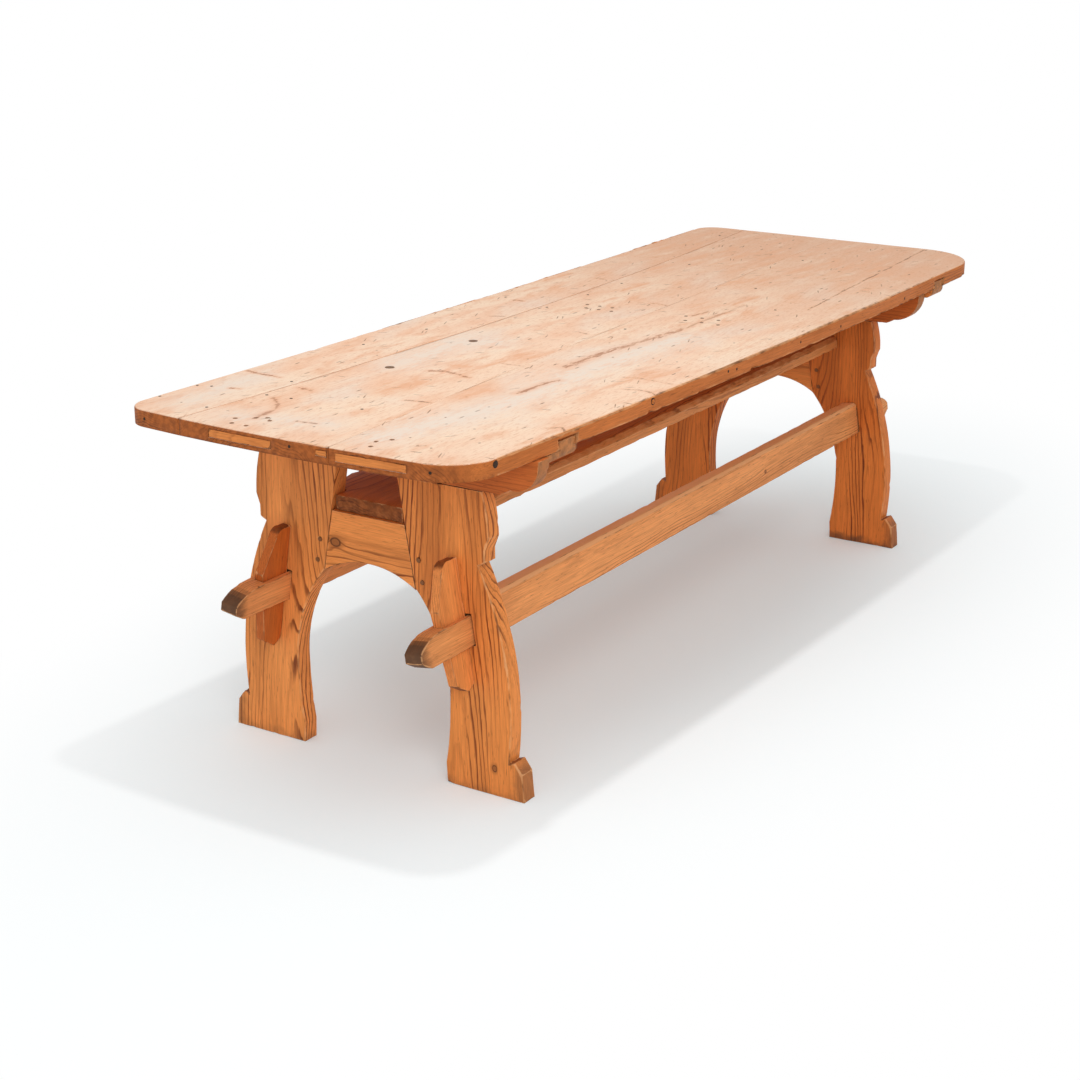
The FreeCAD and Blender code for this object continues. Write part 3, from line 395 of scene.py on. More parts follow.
# Each leg's wood: its heart from the middle of the board, ring width, colour, figure, knots and soil.
LEGS = {
    "leg_near_front": {"pith": (0.02, -0.05), "ring": 0.0090, "pale": HONEY, "figure": 0.012,
                       "knots": ((-0.284, -0.08, 0.005),), "soil": 0.35},
    "leg_near_back": {"pith": (-0.02, -0.06), "ring": 0.0085, "pale": STRAW, "figure": 0.010,
                      "knots": ((0.0, 0.09, 0.004),), "soil": 0.3},
    "leg_far_front": {"pith": (0.03, 0.05), "ring": 0.0130, "pale": AMBER, "figure": 0.055,
                      "knots": ((-0.09, 0.06, 0.006),), "soil": 0.8},
    "leg_far_back": {"pith": (0.0, 0.06), "ring": 0.0110, "pale": AMBER, "figure": 0.03,
                     "knots": ((0.02, 0.03, 0.005),), "soil": 0.7},
}
for leg, wood in LEGS.items():
    leg_pine = pine(leg + "_pine", leg, UPRIGHT, wood["pith"], wood["ring"], wood["pale"], RUST,
                    wood["knots"], wood["figure"], taper=LEG_TAPER, contrast=LEG_CONTRAST,
                    surface=soiled(wood["soil"]))
    worn_piece(leg, "trestle_frame", UPRIGHT, leg_pine, (LEG_CELL,) * 3, LEG_ARRIS)


# Crosspieces: an arched pine rail between each pair of legs, tenoned and pegged into them, flush with
# their outer faces. The grain runs across the table.
CROSSWISE = ((0, 1, 0), (0, 0, 1), (1, 0, 0))
RAIL_CELL = 0.009
RAIL_ARRIS = 0.0014
RAIL_RING = 0.008
RAIL_FIGURE = 0.03
CROSSPIECES = {
    "crosspiece_near": {"pith": (0.02, 0.05), "knots": ((0.085, 0.0, 0.009),)},
    "crosspiece_far": {"pith": (-0.02, 0.05), "knots": ((-0.05, 0.01, 0.006),)},
}
for rail, wood in CROSSPIECES.items():
    rail_pine = pine(rail + "_pine", rail, CROSSWISE, wood["pith"], RAIL_RING, STRAW, RUST,
                     wood["knots"], RAIL_FIGURE)
    worn_piece(rail, "trestle_frame", CROSSWISE, rail_pine, (RAIL_CELL,) * 3, RAIL_ARRIS)


# Bearers: pine bars pegged to the leg tenons along the heads of the legs. They carry the top, and have
# a bevel and a rounded nose under each end.
# Painted shade: the bearers' wood and the end grain of their noses are coloured darker for the shade under
# the top; the battens' ends take the same darkened tan.
SHADED_NOSE_TAN = (0.50, 0.20, 0.07)
SHADED_BEARER_BROWN = (0.57, 0.145, 0.027)
BAR_PITH = (0.03, 0.06)
BAR_RING = 0.005
for bearer in ("bearer_near", "bearer_far"):
    bearer_pine = pine(bearer + "_pine", bearer, CROSSWISE, BAR_PITH, BAR_RING, SHADED_BEARER_BROWN, RUST,
                       end_tint=SHADED_NOSE_TAN)
    worn_piece(bearer, "trestle_frame", CROSSWISE, bearer_pine, (RAIL_CELL,) * 3,
               RAIL_ARRIS)


# Pegs of the trestles: hewn, eight-sided pegs driven through the tenons of the legs and crosspieces.
# Their end grain is dark with age.
PEG_BROWN = (0.26, 0.11, 0.04)
PEG_DARK = (0.09, 0.035, 0.014)
PEG_PITH = (0.0, 0.1)
PEG_RING = 0.0012
LENGTHWISE = ((1, 0, 0), (0, 1, 0), (0, 0, 1))


def dress_pegs(pegs):
    """Gives the solids of a peg node their wood."""
    peg_wood = pine(pegs + "_wood", pegs, LENGTHWISE, PEG_PITH, PEG_RING, PEG_BROWN, PEG_DARK)
    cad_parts[pegs].data.materials.clear()
    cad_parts[pegs].data.materials.append(peg_wood)


for trestle_pegs in ("crosspiece_pegs_near", "crosspiece_pegs_far", "bearer_pegs_near", "bearer_pegs_far"):
    dress_pegs(trestle_pegs)


# Stretchers: two long pine rails that lean with the legs. The slotted tenon at each end passes through
# the leg, and its tip was rounded with an axe and has gone dark.
LEAN = math.atan(0.158)
STRETCHER_CELLS = (0.016, 0.008, 0.008)
STRETCHER_PITH = (0.03, 0.08)
STRETCHER_RING = 0.0055
STRETCHER_TAPER = 0.006
TENON_TIPS = (0.085, 0.0035)
TIP_PATCHES = (30, 60, 60)
TIP_REACH = (1.188, 1.226)
# Where the painted light on the stretchers' upper faces fades out towards the ends.
PAINTED_LIGHT_ENDS = (0.9, 1.0)
TENON_BROWN = (0.12, 0.055, 0.026)
RAIL_TAN = (0.84, 0.335, 0.108)
# Colour of the painted light on the stretchers' upper faces.
RAIL_PAINTED_LIGHT = (0.95, 0.52, 0.24)
RAIL_KNOTS = ((0.35, -0.015, 0.003),)


def leaning(side):
    """Grain along the table, across the rail's height and through its leaning thickness."""
    up = (0, -side * math.sin(LEAN), math.cos(LEAN))
    return ((1, 0, 0), up, (0, -math.cos(LEAN), -side * math.sin(LEAN)))


def lit_and_handled_rail(tree, spot, place, late, colour, dent):
    """The upper side of a rail between the legs, lightened as painted light for the shade the top casts on
    it, and the near tenons' tips, brown from hands.
    """
    along = put(tree, "SeparateXYZ", {0: spot}).outputs[0]
    # Painted light: the upper faces are lightened between the legs, fading out towards the ends.
    painted_light_upper = work(tree, "MULTIPLY", between(tree, noted(tree, "upper"), 0.2, 0.8),
                   between(tree, work(tree, "ABSOLUTE", along), *PAINTED_LIGHT_ENDS, 0.75, 0.0))
    colour = tint(tree, painted_light_upper, colour, opaque(RAIL_PAINTED_LIGHT))
    rough_edge = cloud(tree, spot, TIP_PATCHES, 4.0, 0.6).outputs[0]
    reach = work(tree, "SUBTRACT", work(tree, "MULTIPLY", rough_edge, 0.06), along)
    return tint(tree, between(tree, reach, *TIP_REACH, 0.0, 0.8), colour, opaque(TENON_BROWN)), dent


for stretcher, side in (("stretcher_front", -1), ("stretcher_back", 1)):
    rail_pine = pine(stretcher + "_pine", stretcher, leaning(side), STRETCHER_PITH, STRETCHER_RING,
                     RAIL_TAN, RUST, RAIL_KNOTS, taper=STRETCHER_TAPER, end_tint=TENON_BROWN,
                     end_least=0.2, surface=lit_and_handled_rail)
    worn_piece(stretcher, "trestle_frame", leaning(side), rail_pine, STRETCHER_CELLS,
               RAIL_ARRIS, tips=TENON_TIPS)


# Wedges: flat pine keys driven down through the tenons, hammered at the head and rubbed where they
# are drawn out.
WEDGE_HONEY = (0.84, 0.30, 0.08)
WEDGE_RUST = (0.36, 0.08, 0.018)
WEDGE_BROWN = (0.54, 0.135, 0.022)
WEDGE_CELL = 0.007
WEDGE_PITH = (0.06, 0.02)
WEDGE_RING = 0.004
WEDGE_TAPER = 0.03
WEDGES = {
    "wedge_near_front": (-1, WEDGE_HONEY), "wedge_near_back": (1, WEDGE_BROWN),
    "wedge_far_front": (-1, WEDGE_HONEY), "wedge_far_back": (1, WEDGE_HONEY),
}
for wedge, (side, colour) in WEDGES.items():
    along, up, through = leaning(side)
    wedge_grain = (up, through, along)
    wedge_pine = pine(wedge + "_pine", wedge, wedge_grain, WEDGE_PITH, WEDGE_RING, colour, WEDGE_RUST,
                      taper=WEDGE_TAPER)
    worn_piece(wedge, wedge, wedge_grain, wedge_pine, (WEDGE_CELL,) * 3, RAIL_ARRIS)


# Long board: a loose pine board laid on the two crosspieces, its narrow ends between the legs. Its ends
# are rough, dark end grain, painted darker still as shade under the top.
BOARD_CELLS = (0.02, 0.012, 0.012)
BOARD_PITH = (0.05, -0.12)
BOARD_RING = 0.007
BOARD_KNOTS = ((-0.8, 0.02, 0.01), (0.1, -0.08, 0.008))
BOARD_TAN = (0.70, 0.265, 0.078)
# Painted shade: the board's end grain is coloured darker for the shade under the top.
SHADED_BOARD_END = (0.27, 0.068, 0.011)
WORN_BOARD = {**WORN_FRAME, "reach": 0.006, "rub": 0.003, "nick": 0.014, "nick_least": 0.2}
board_pine = pine("long_board_pine", "long_board", LENGTHWISE, BOARD_PITH, BOARD_RING, BOARD_TAN, RUST,
                  BOARD_KNOTS, end_tint=SHADED_BOARD_END)
worn_piece("long_board", "trestle_frame", LENGTHWISE, board_pine, BOARD_CELLS,
           RAIL_ARRIS, WORN_BOARD)


# Battens: pine bars dovetailed across the underside of the top, which keep the planks flat. Their ends
# show in the front edge.
BATTEN_CELLS = (0.009, 0.02, 0.009)
# Painted shade: the battens' end grain takes the bearers' darkened tan, for the shade under the top.
for batten in ("batten_near", "batten_far"):
    batten_pine = pine(batten + "_pine", batten, CROSSWISE, BAR_PITH, BAR_RING, HONEY, RUST,
                       end_tint=SHADED_NOSE_TAN)
    worn_piece(batten, "top", CROSSWISE, batten_pine, BATTEN_CELLS, RAIL_ARRIS)


# Planks of the top: three wide pine planks. Use and scrubbing have bleached the upper faces; the edges
# have stayed brown. Stains, a drying crack and many small dents mark them.
EDGE_HONEY = (0.58, 0.17, 0.036)
EDGE_RUST = (0.22, 0.055, 0.012)
END_RED = (0.46, 0.125, 0.026)
SCRUBBED = (0.87, 0.65, 0.48)
BLUSH = (0.85, 0.56, 0.39)
CHALK = (0.79, 0.67, 0.565)
FLUSHED = (0.77, 0.41, 0.24)
STREAK = (0.62, 0.30, 0.16)
STAIN = (0.38, 0.15, 0.07)
SCAR = (0.22, 0.10, 0.05)
# Painted shade towards the top's far end, where less light reaches it.
FAR_SHADE_TAN = (0.74, 0.42, 0.26)
# Marks of use on the upper faces: cells of noise a metre along and across, and how far it shifts.
BROAD_CLOUDS = (1.5, 7, 0)
CHALK_CLOUDS = (2.6, 5.5, 0)
BRUSH_SWAY, BRUSH_SHIFT = (3, 8, 0), (0.08, 0.06, 0)
BRUSH_MARKS = (6, 24, 0)
STREAK_SWAY, STREAK_SHIFT = (20, 60, 0), (0.01, 0.008, 0)
STREAK_MARKS = (50, 230, 0)
HAND_SWAY, HAND_SHIFT = (16, 16, 0), (0.012, 0.012, 0)
RAGGED_EDGES = (28, 90, 0)
PLAN_ONLY = (1, 1, 0)
# Small dents: cells a metre along and across, share of bare cells, size in a cell.
DOTS, DOT_LEAST, DOT_SIZE = (26, 30), 0.95, 0.1
SCRATCH_SIZE = 0.2
# Sets of scratches: turn from the grain in degrees, cells a metre along and across, share of bare cells.
SCRATCHES = [(0, (17, 75), 0.94), (38, (13, 120), 0.96), (-24, (10, 110), 0.96), (75, (14, 90), 0.97)]
PLANK_CELLS = (0.016, 0.014, 0.012)
PLANK_ARRIS = 0.0012
PLANK_RING = 0.0052
PLANK_GLOSS = 0.55
# Marks on each plank: the points of a line in the table's plan, its half width, colour and strength.
MARKS = {
    "plank_back": [
        (((-1.15, 0.36), (-0.95, 0.38)), 0.05, CHALK, 0.6),
        (((-0.875, 0.432), (-0.883, 0.38), (-0.885, 0.335)), 0.007, STAIN, 0.8),
        (((-1.010, 0.36), (-1.005, 0.342)), 0.006, STAIN, 0.9),
        (((-0.14, 0.29), (-0.125, 0.262)), 0.007, SCAR, 0.6),
        (((0.048, 0.34), (0.048, 0.315)), 0.007, STAIN, 0.8),
        (((0.39, 0.306), (0.395, 0.284)), 0.006, SCAR, 0.6),
    ],
    "plank_middle": [
        (((-1.17, 0.21), (-1.13, 0.02)), 0.05, CHALK, 0.6),
        (((-0.65, 0.185), (-0.42, 0.2), (-0.37, 0.137)), 0.06, CHALK, 0.7),
        (((-0.86, 0.072), (-0.75, 0.056)), 0.035, FLUSHED, 0.8),
        (((-0.6, 0.077), (-0.585, 0.046)), 0.025, FLUSHED, 0.8),
        (((-0.93, 0.24), (-0.94, 0.198)), 0.011, STAIN, 0.8),
        (((-1.027, 0.236), (-1.05, 0.203), (-1.094, 0.172), (-1.17, 0.162)), 0.010, STAIN, 0.7),
        (((-1.14, 0.078), (-1.134, 0.035)), 0.006, SCAR, 0.7),
        (((-0.896, -0.007), (-0.885, -0.06)), 0.006, SCAR, 0.7),
        (((-0.664, 0.095), (-0.651, 0.065), (-0.659, 0.028), (-0.672, -0.007)), 0.010, STAIN, 0.8),
        (((-0.524, 0.011), (-0.529, -0.015), (-0.522, -0.04)), 0.005, SCAR, 0.6),
        (((-0.175, 0.021), (-0.18, -0.003)), 0.006, SCAR, 0.6),
        (((0.2, 0.03), (0.195, -0.01)), 0.007, STAIN, 0.7),
    ],
    "plank_front": [
        (((-1.14, -0.125), (-0.83, -0.195), (-0.42, -0.185), (-0.1, -0.21)), 0.06, CHALK, 0.8),
        (((-0.81, -0.09), (-0.74, -0.1)), 0.03, FLUSHED, 0.8),
        (((-0.725, -0.169), (-0.62, -0.173), (-0.585, -0.184)), 0.011, STAIN, 0.8),
        (((-0.48, -0.135), (-0.33, -0.133), (-0.17, -0.154), (-0.03, -0.17)), 0.017, STAIN, 0.75),
        (((-0.03, -0.17), (0.3, -0.172)), 0.010, STAIN, 0.5),
        (((0.335, -0.328), (0.637, -0.304), (0.862, -0.29), (1.24, -0.264)), 0.004, SCAR, 0.8),
        (((-0.92, -0.362), (-0.9, -0.385), (-0.94, -0.42)), 0.006, SCAR, 0.7),
        (((-0.49, -0.287), (-0.48, -0.318), (-0.49, -0.4)), 0.006, SCAR, 0.6),
        (((-0.58, -0.335), (-0.567, -0.37), (-0.577, -0.41)), 0.006, SCAR, 0.6),
        (((0.124, -0.119), (0.182, -0.13)), 0.008, STAIN, 0.7),
    ],
}


def stroke(tree, place, ragged, points, half_width):
    """A ragged line through points of the table's plan: its core and the soft rim round it."""
    least = None
    for start, end in zip(points, points[1:]):
        run = Vector((*end, 0)) - Vector((*start, 0))
        offset = steer(tree, "SUBTRACT", place, (*start, 0))
        dot = put(tree, "VectorMath", {0: offset, 1: run / run.length_squared}, operation="DOT_PRODUCT")
        share = put(tree, "Clamp", {0: dot.outputs["Value"]}).outputs[0]
        foot = put(tree, "VectorMath", {0: run, "Scale": share}, operation="SCALE").outputs[0]
        gap = length(tree, steer(tree, "SUBTRACT", offset, foot))
        least = gap if least is None else work(tree, "MINIMUM", least, gap)
    least = work(tree, "MULTIPLY_ADD", ragged, half_width * 4, least)
    core = between(tree, least, half_width * 2, half_width * 2.6, 1.0, 0.0)
    return core, between(tree, least, half_width * 2.2, half_width * 4.2, 0.6, 0.0)


def specks(tree, place, stretch, least, size):
    """Scattered small marks: only the cells whose chance is over the least have one."""
    stretched = steer(tree, "MULTIPLY", place, (*stretch, 0))
    cells = put(tree, "TexVoronoi", {"Vector": stretched, "Scale": 1.0}, voronoi_dimensions="2D").outputs
    chance = put(tree, "SeparateColor", {0: cells["Color"]}).outputs[0]
    spots = between(tree, cells["Distance"], size * 0.5, size, 1.0, 0.0)
    return work(tree, "MULTIPLY", spots, between(tree, chance, least, least + 0.02))


def scrubbed(marks):
    """The look of a plank's upper face, for the marks on that plank."""
    def surface(tree, spot, place, late, colour, dent):
        upper = between(tree, noted(tree, "upper"), 0.45, 0.85)
        broad = cloud(tree, place, BROAD_CLOUDS, 4.0, 0.6).outputs[0]
        look = tint(tree, between(tree, broad, 0.38, 0.6), opaque(SCRUBBED), opaque(BLUSH))
        # Painted shade: the top darkens towards its far end, where less light reaches it.
        along = put(tree, "SeparateXYZ", {0: spot}).outputs[0]
        far_along = work(tree, "MULTIPLY_ADD", broad, 0.8, along)
        far_end_shade = between(tree, far_along, 0.1, 1.6, 0.0, 0.85)
        look = tint(tree, far_end_shade, look, opaque(FAR_SHADE_TAN))
        chalky = cloud(tree, place, CHALK_CLOUDS, 3.0).outputs[0]
        bleached = work(tree, "MULTIPLY", between(tree, chalky, 0.52, 0.7, 0.0, 0.6),
                        between(tree, along, -0.2, 0.9, 1.0, 0.2))
        look = tint(tree, bleached, look, opaque(CHALK))
        brushed = swayed(tree, place, BRUSH_SWAY, BRUSH_SHIFT)
        brush = cloud(tree, brushed, BRUSH_MARKS, 8.0, 0.66).outputs[0]
        gathered = work(tree, "MULTIPLY", between(tree, brush, 0.45, 0.65, 0.0, 0.9),
                        between(tree, chalky, 0.4, 0.6, 1.0, 0.3))
        look = tint(tree, gathered, look, opaque(FLUSHED))
        look = tint(tree, between(tree, brush, 0.28, 0.48, 0.6, 0.0), look, opaque(SCRUBBED))
        streaked = swayed(tree, place, STREAK_SWAY, STREAK_SHIFT)
        fine = cloud(tree, streaked, STREAK_MARKS, 4.0, 0.65).outputs[0]
        look = tint(tree, between(tree, fine, 0.5, 0.72, 0.0, 0.65), look, opaque(STREAK))
        look = tint(tree, work(tree, "MULTIPLY", late, 0.25), look, opaque(STREAK))
        wobbly = steer(tree, "MULTIPLY", swayed(tree, spot, HAND_SWAY, HAND_SHIFT), PLAN_ONLY)
        ragged = cloud(tree, spot, RAGGED_EDGES, 6.0, 0.7).outputs[0]
        for points, half_width, stain, strength in marks:
            core, rim = stroke(tree, wobbly, ragged, points, half_width)
            rim_colour = CHALK if stain == CHALK else FLUSHED
            look = tint(tree, work(tree, "MULTIPLY", rim, strength), look, opaque(rim_colour))
            broken = work(tree, "MULTIPLY", core, between(tree, brush, 0.34, 0.52, 0.4, 1.0))
            look = tint(tree, work(tree, "MULTIPLY", broken, strength), look, opaque(stain))
        hurt = specks(tree, wobbly, DOTS, DOT_LEAST, DOT_SIZE)
        for turn, stretch, least in SCRATCHES:
            sockets = {"Vector": wobbly, "Rotation": (0, 0, math.radians(turn))}
            turned = put(tree, "Mapping", sockets).outputs[0]
            hurt = work(tree, "MAXIMUM", hurt, specks(tree, turned, stretch, least, SCRATCH_SIZE))
        bitten = work(tree, "MULTIPLY", hurt, between(tree, ragged, 0.35, 0.6, 0.25, 0.85))
        look = tint(tree, bitten, look, opaque(SCAR))
        hollow = work(tree, "SUBTRACT", dent, work(tree, "MULTIPLY", hurt, upper))
        return tint(tree, upper, colour, look), hollow

    return surface


SEAM_REACH = 0.36
TIGHT_SEAM = 0.16
END_REACH = -1.1
SLOT_TOP = 0.758


def is_seam(edge):
    """Edges that meet another plank or a strip, or lie inside the top."""
    first, second = (vert.co for vert in edge.verts)
    lengthwise = abs(first.x - second.x) > 0.9 * edge.calc_length()
    in_end = max(first.x, second.x) < END_REACH and min(first.z, second.z) < SLOT_TOP
    return in_end or lengthwise and abs(first.y + second.y) / 2 < SEAM_REACH


def in_seam(vert):
    """Whether a vertex lies on a side of the front seam, which is still tight."""
    return abs(vert.normal.y) > 0.3 and abs(vert.co.y) < TIGHT_SEAM and abs(vert.normal.x) < 0.5


WORN_TOP = {
    "reach": 0.006, "wave": 0.0007, "wave_scale": 9, "rub": 0.0016, "rub_scale": 12,
    "nick": 0.009, "nick_scale": 45, "nick_least": 0.25,
    "is_held": in_seam, "held_move": -0.0003,
}
PLANKS = {"plank_back": (0.05, -0.2), "plank_middle": (-0.04, -0.22), "plank_front": (0.06, -0.25)}
plank_pieces = []
for plank, pith in PLANKS.items():
    plank_pine = pine(plank + "_pine", plank, LENGTHWISE, pith, PLANK_RING, EDGE_HONEY, EDGE_RUST,
                      end_tint=END_RED, surface=scrubbed(MARKS[plank]), gloss=PLANK_GLOSS)
    plank_pieces.append(worn_piece(plank, "top", LENGTHWISE, plank_pine, PLANK_CELLS,
                                   PLANK_ARRIS, WORN_TOP, is_kept=is_seam))


# Nails and plugs of the top: iron nails set into the planks and their edges, round plugs of darker
# wood over old holes, and two groups of small pegs.
IRON = (0.030, 0.018, 0.012)
PLUG_BROWN = (0.13, 0.075, 0.045)
CORE_TAN = (0.33, 0.098, 0.022)
DOWN, INWARD, BACKWARD = Vector((0, 0, -1)), Vector((1, 0, 0)), Vector((0, 1, 0))
ABOVE_TOP, BEYOND_END, BEFORE_EDGE = 1, -2, -1
NAIL_RADIUS = 0.0035
NAIL_PROUD = 0.0004
HEAD_SEGMENTS = 14
HEAD_TAPER = 0.9
HEAD_SPECULAR = 0.15
RUST_PATCHES = (400, 400, 400)
TOP_NAILS = [(-1.14, 0.44), (-1.03, 0.436), (-1.02, 0.405), (-1.155, 0.3), (-1.015, 0.26), (-0.9, 0.288),
             (-1.01, 0.2), (-1.0, 0.026), (-0.545, 0.367), (-0.34, 0.337), (0.064, 0.38), (0.018, 0.228),
             (0.2, 0.22), (0.37, 0.22), (-0.09, -0.057), (1.13, 0.33), (0.69, 0.193), (0.91, -0.042),
             (0.5, -0.103), (0.29, -0.262)]
END_NAILS = [(0.39, 0.742), (0.006, 0.747), (-0.312, 0.742)]
EDGE_NAILS = [(-0.272, 0.745), (-0.233, 0.742), (0.08, 0.742), (0.3, 0.738), (0.69, 0.737)]
PLUGS = [(-0.687, 0.188), (-0.382, 0.176)]
PLUG_RADIUS = 0.012
EDGE_HOLE = (-1.146, 0.748)
EDGE_PLUG = (-0.592, 0.747)
PEG_GROUPS = [(0.08, 0.115, 0.036), (0.09, -0.165, 0.044)]
PEG_RADIUS = 0.005
EDGE_PLUG_RADIUS = 0.0085
CORE_RADIUS = 0.0062
CORE_PROUD = 0.0009
plank_faces = [BVHTree.FromPolygons([vert.co for vert in piece.data.vertices],
                                    [face.vertices for face in piece.data.polygons])
               for piece in plank_pieces]


def seat(start, direction):
    """Where a straight path meets the planks, and which way their surface faces there."""
    hits = []
    for faces in plank_faces:
        place, facing, _, gap = faces.ray_cast(Vector(start), direction)
        if place:
            hits.append((gap, place, facing))
    _, place, facing = min(hits, key=lambda hit: hit[0])
    return place, facing


def add_head(shape, start, direction, radius, proud=NAIL_PROUD):
    """A low, slightly tapered disc let into the surface."""
    place, facing = seat(start, direction)
    turn = facing.to_track_quat("Z", "Y").to_matrix().to_4x4()
    sunk = Matrix.Translation(place - facing * (radius / 2 - proud)) @ turn
    bmesh.ops.create_cone(shape, cap_ends=True, segments=HEAD_SEGMENTS, radius1=radius,
                          radius2=radius * HEAD_TAPER, depth=radius, matrix=sunk)


def aged_head(name, colour):
    """Old iron or plug wood: dark, dull and patchy."""
    finish = bpy.data.materials.new(name)
    finish.use_nodes = True
    tree = finish.node_tree
    shader = tree.nodes["Principled BSDF"]
    spot = put(tree, "TexCoord", {}).outputs["Object"]
    rust = cloud(tree, spot, RUST_PATCHES, 3.0).outputs[0]
    lighter = opaque([2.2 * channel for channel in colour])
    look = tint(tree, between(tree, rust, 0.35, 0.7), opaque(colour), lighter)
    tree.links.new(look, shader.inputs["Base Color"])
    tree.links.new(between(tree, rust, 0.3, 0.8, 0.6, 0.9), shader.inputs["Roughness"])
    shader.inputs["Specular IOR Level"].default_value = HEAD_SPECULAR
    bump = put(tree, "Bump", {"Strength": 0.4, "Distance": 0.0004, "Height": rust})
    tree.links.new(bump.outputs[0], shader.inputs["Normal"])
    return finish


nails = bmesh.new()
for nail_x, nail_y in TOP_NAILS:
    add_head(nails, (nail_x, nail_y, ABOVE_TOP), DOWN, NAIL_RADIUS)
for nail_y, nail_z in END_NAILS:
    add_head(nails, (BEYOND_END, nail_y, nail_z), INWARD, NAIL_RADIUS)
for nail_x, nail_z in EDGE_NAILS:
    add_head(nails, (nail_x, BEFORE_EDGE, nail_z), BACKWARD, NAIL_RADIUS)
for ring_x, ring_z in (EDGE_HOLE, EDGE_PLUG):
    add_head(nails, (ring_x, BEFORE_EDGE, ring_z), BACKWARD, EDGE_PLUG_RADIUS)
link("nail_heads", nails, aged_head("old_iron", IRON), "top")
plugs = bmesh.new()
for plug_x, plug_y in PLUGS:
    add_head(plugs, (plug_x, plug_y, ABOVE_TOP), DOWN, PLUG_RADIUS)
for middle_x, middle_y, pitch in PEG_GROUPS:
    for row in (-0.5, 0.5):
        for column in (-1, 0, 1):
            peg_x = middle_x + row * pitch
            peg_y = middle_y + (column + row * 0.5) * pitch
            add_head(plugs, (peg_x, peg_y, ABOVE_TOP), DOWN, PEG_RADIUS)
link("top_plugs", plugs, aged_head("plug_wood", PLUG_BROWN), "top")
core = bmesh.new()
add_head(core, (EDGE_PLUG[0], BEFORE_EDGE, EDGE_PLUG[1]), BACKWARD, CORE_RADIUS, CORE_PROUD)
link("edge_plug_core", core, aged_head("core_wood", CORE_TAN), "top")


# Tongues and key: pale strips of younger pine let into the near end of the top, with their pegs, and
# the hidden dowels between the planks.
STRIP_PALE = (0.74, 0.25, 0.06)
STRIP_RUST = (0.45, 0.13, 0.03)
STRIP_RING = 0.003
STRIP_CELL = 0.007
STRIP_ARRIS = 0.0005
WORN_STRIP = {**WORN_FRAME, "rub": 0.0012, "nick": 0.004}
for strip in ("end_tongue_middle", "end_tongue_front", "end_key"):
    strip_pine = pine(strip + "_pine", strip, CROSSWISE, BAR_PITH, STRIP_RING, STRIP_PALE, STRIP_RUST,
                      rub=0.0)
    worn_piece(strip, "top", CROSSWISE, strip_pine, (STRIP_CELL,) * 3, STRIP_ARRIS,
               WORN_STRIP)
for top_pegs in ("tongue_pegs", "dowels_back_seam", "dowels_front_seam"):
    dress_pegs(top_pegs)


# Stage: a plain white floor that keeps the table's shadow, a lamp overhead, a wide soft lamp beside the
# viewer and even light all round, seen from the photograph's place.
FLOOR_SIZE = 40
FLOOR_WHITE = (0.94, 0.95, 0.95)
FLOOR_GLOW = (0.36, 0.88, 1.0)
FLOOR_LIFT = 0.12
FLOOR_REACH = (0.45, 1, 0)
CLEAR_FLOOR = (0.3, 1.2)
LAMPS = [
    {"name": "overhead_lamp", "place": (-0.64, -0.16, 3.7), "aim": (-0.4, 0, 0), "size": 0.16,
     "power": 30},
    {"name": "side_lamp", "place": (-4.0, -3.2, 3.4), "aim": (-0.3, 0, 0.4), "size": 2.4, "power": 62},
]
SKY_LIGHT = 0.66
CAMERA_PLACE = (-4.1077, -2.3695, 1.8083)
CAMERA_TURN = (math.radians(71.255), 0, math.radians(-57.604))
CAMERA_LENS = 66.99


def shows_backdrop(tree):
    """One for the rays that show the white backdrop, seen directly or mirrored."""
    rays = put(tree, "LightPath", {}).outputs
    mirrored = work(tree, "MAXIMUM", rays["Is Glossy Ray"], rays["Is Transmission Ray"])
    return work(tree, "MAXIMUM", rays["Is Camera Ray"], mirrored)


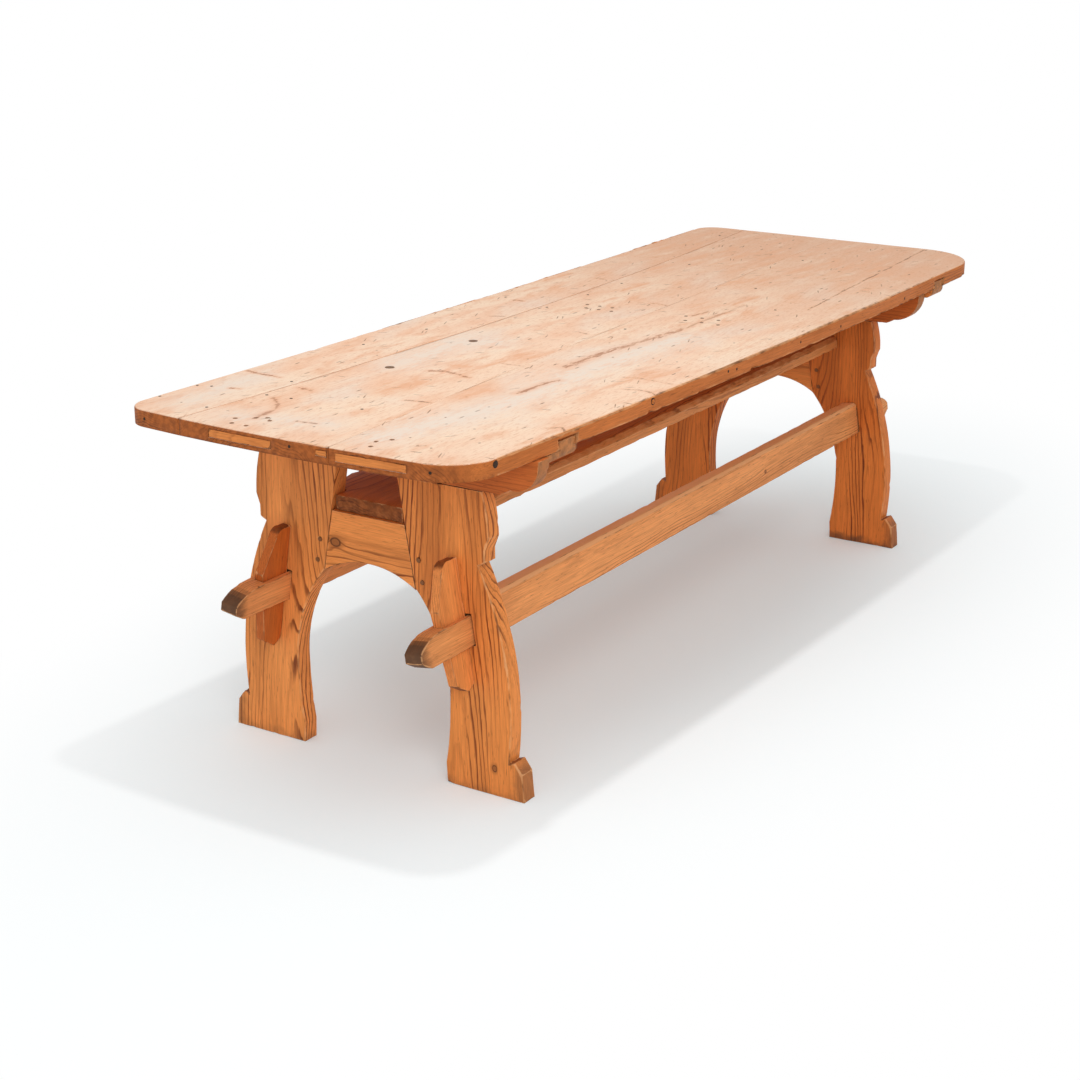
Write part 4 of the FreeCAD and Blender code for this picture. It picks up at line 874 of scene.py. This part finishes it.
floor_shape = bmesh.new()
bmesh.ops.create_grid(floor_shape, x_segments=1, y_segments=1, size=FLOOR_SIZE / 2)
floor_mesh = bpy.data.meshes.new("floor")
floor_shape.to_mesh(floor_mesh)
floor_shape.free()
floor = bpy.data.objects.new("floor", floor_mesh)
bpy.context.scene.collection.objects.link(floor)
floor_paint = bpy.data.materials.new("white_floor")
floor_paint.use_nodes = True
paint = floor_paint.node_tree
paint.nodes.remove(paint.nodes["Principled BSDF"])
matt = put(paint, "BsdfDiffuse", {"Color": opaque(FLOOR_WHITE)}).outputs[0]
glow = put(paint, "Emission", {"Color": opaque(FLOOR_GLOW), "Strength": FLOOR_LIFT}).outputs[0]
white = put(paint, "Emission", {"Strength": 1.0}).outputs[0]
seen = shows_backdrop(paint)
floor_spot = put(paint, "TexCoord", {}).outputs["Object"]
floor_gap = length(paint, steer(paint, "MULTIPLY", floor_spot, FLOOR_REACH))
far_off = work(paint, "MULTIPLY", between(paint, floor_gap, *CLEAR_FLOOR), seen)
lifted = put(paint, "AddShader", {0: matt, 1: glow}).outputs[0]
near_look = put(paint, "MixShader", {0: seen, 1: matt, 2: lifted}).outputs[0]
look = put(paint, "MixShader", {0: far_off, 1: near_look, 2: white}).outputs[0]
paint.links.new(look, paint.nodes["Material Output"].inputs["Surface"])
floor_mesh.materials.append(floor_paint)

for lamp in LAMPS:
    light = bpy.data.lights.new(lamp["name"], "AREA")
    light.shape = "DISK"
    light.size = lamp["size"]
    light.energy = lamp["power"]
    holder = bpy.data.objects.new(lamp["name"], light)
    holder.location = lamp["place"]
    away = Vector(lamp["place"]) - Vector(lamp["aim"])
    holder.rotation_euler = away.to_track_quat("Z", "Y").to_euler()
    bpy.context.scene.collection.objects.link(holder)

sky = bpy.data.worlds.new("even_light")
sky.use_nodes = True
air = sky.node_tree
level = work(air, "MULTIPLY_ADD", shows_backdrop(air), 1.0 - SKY_LIGHT, SKY_LIGHT)
air.links.new(level, air.nodes["Background"].inputs["Strength"])
air.nodes["Background"].inputs["Color"].default_value = (1, 1, 1, 1)
bpy.context.scene.world = sky

camera_view = bpy.data.cameras.new("photo_view")
camera_view.lens = CAMERA_LENS
camera = bpy.data.objects.new("photo_view", camera_view)
camera.location = CAMERA_PLACE
camera.rotation_euler = CAMERA_TURN
bpy.context.scene.collection.objects.link(camera)
bpy.context.scene.camera = camera
bpy.context.scene.view_settings.view_transform = "Standard"
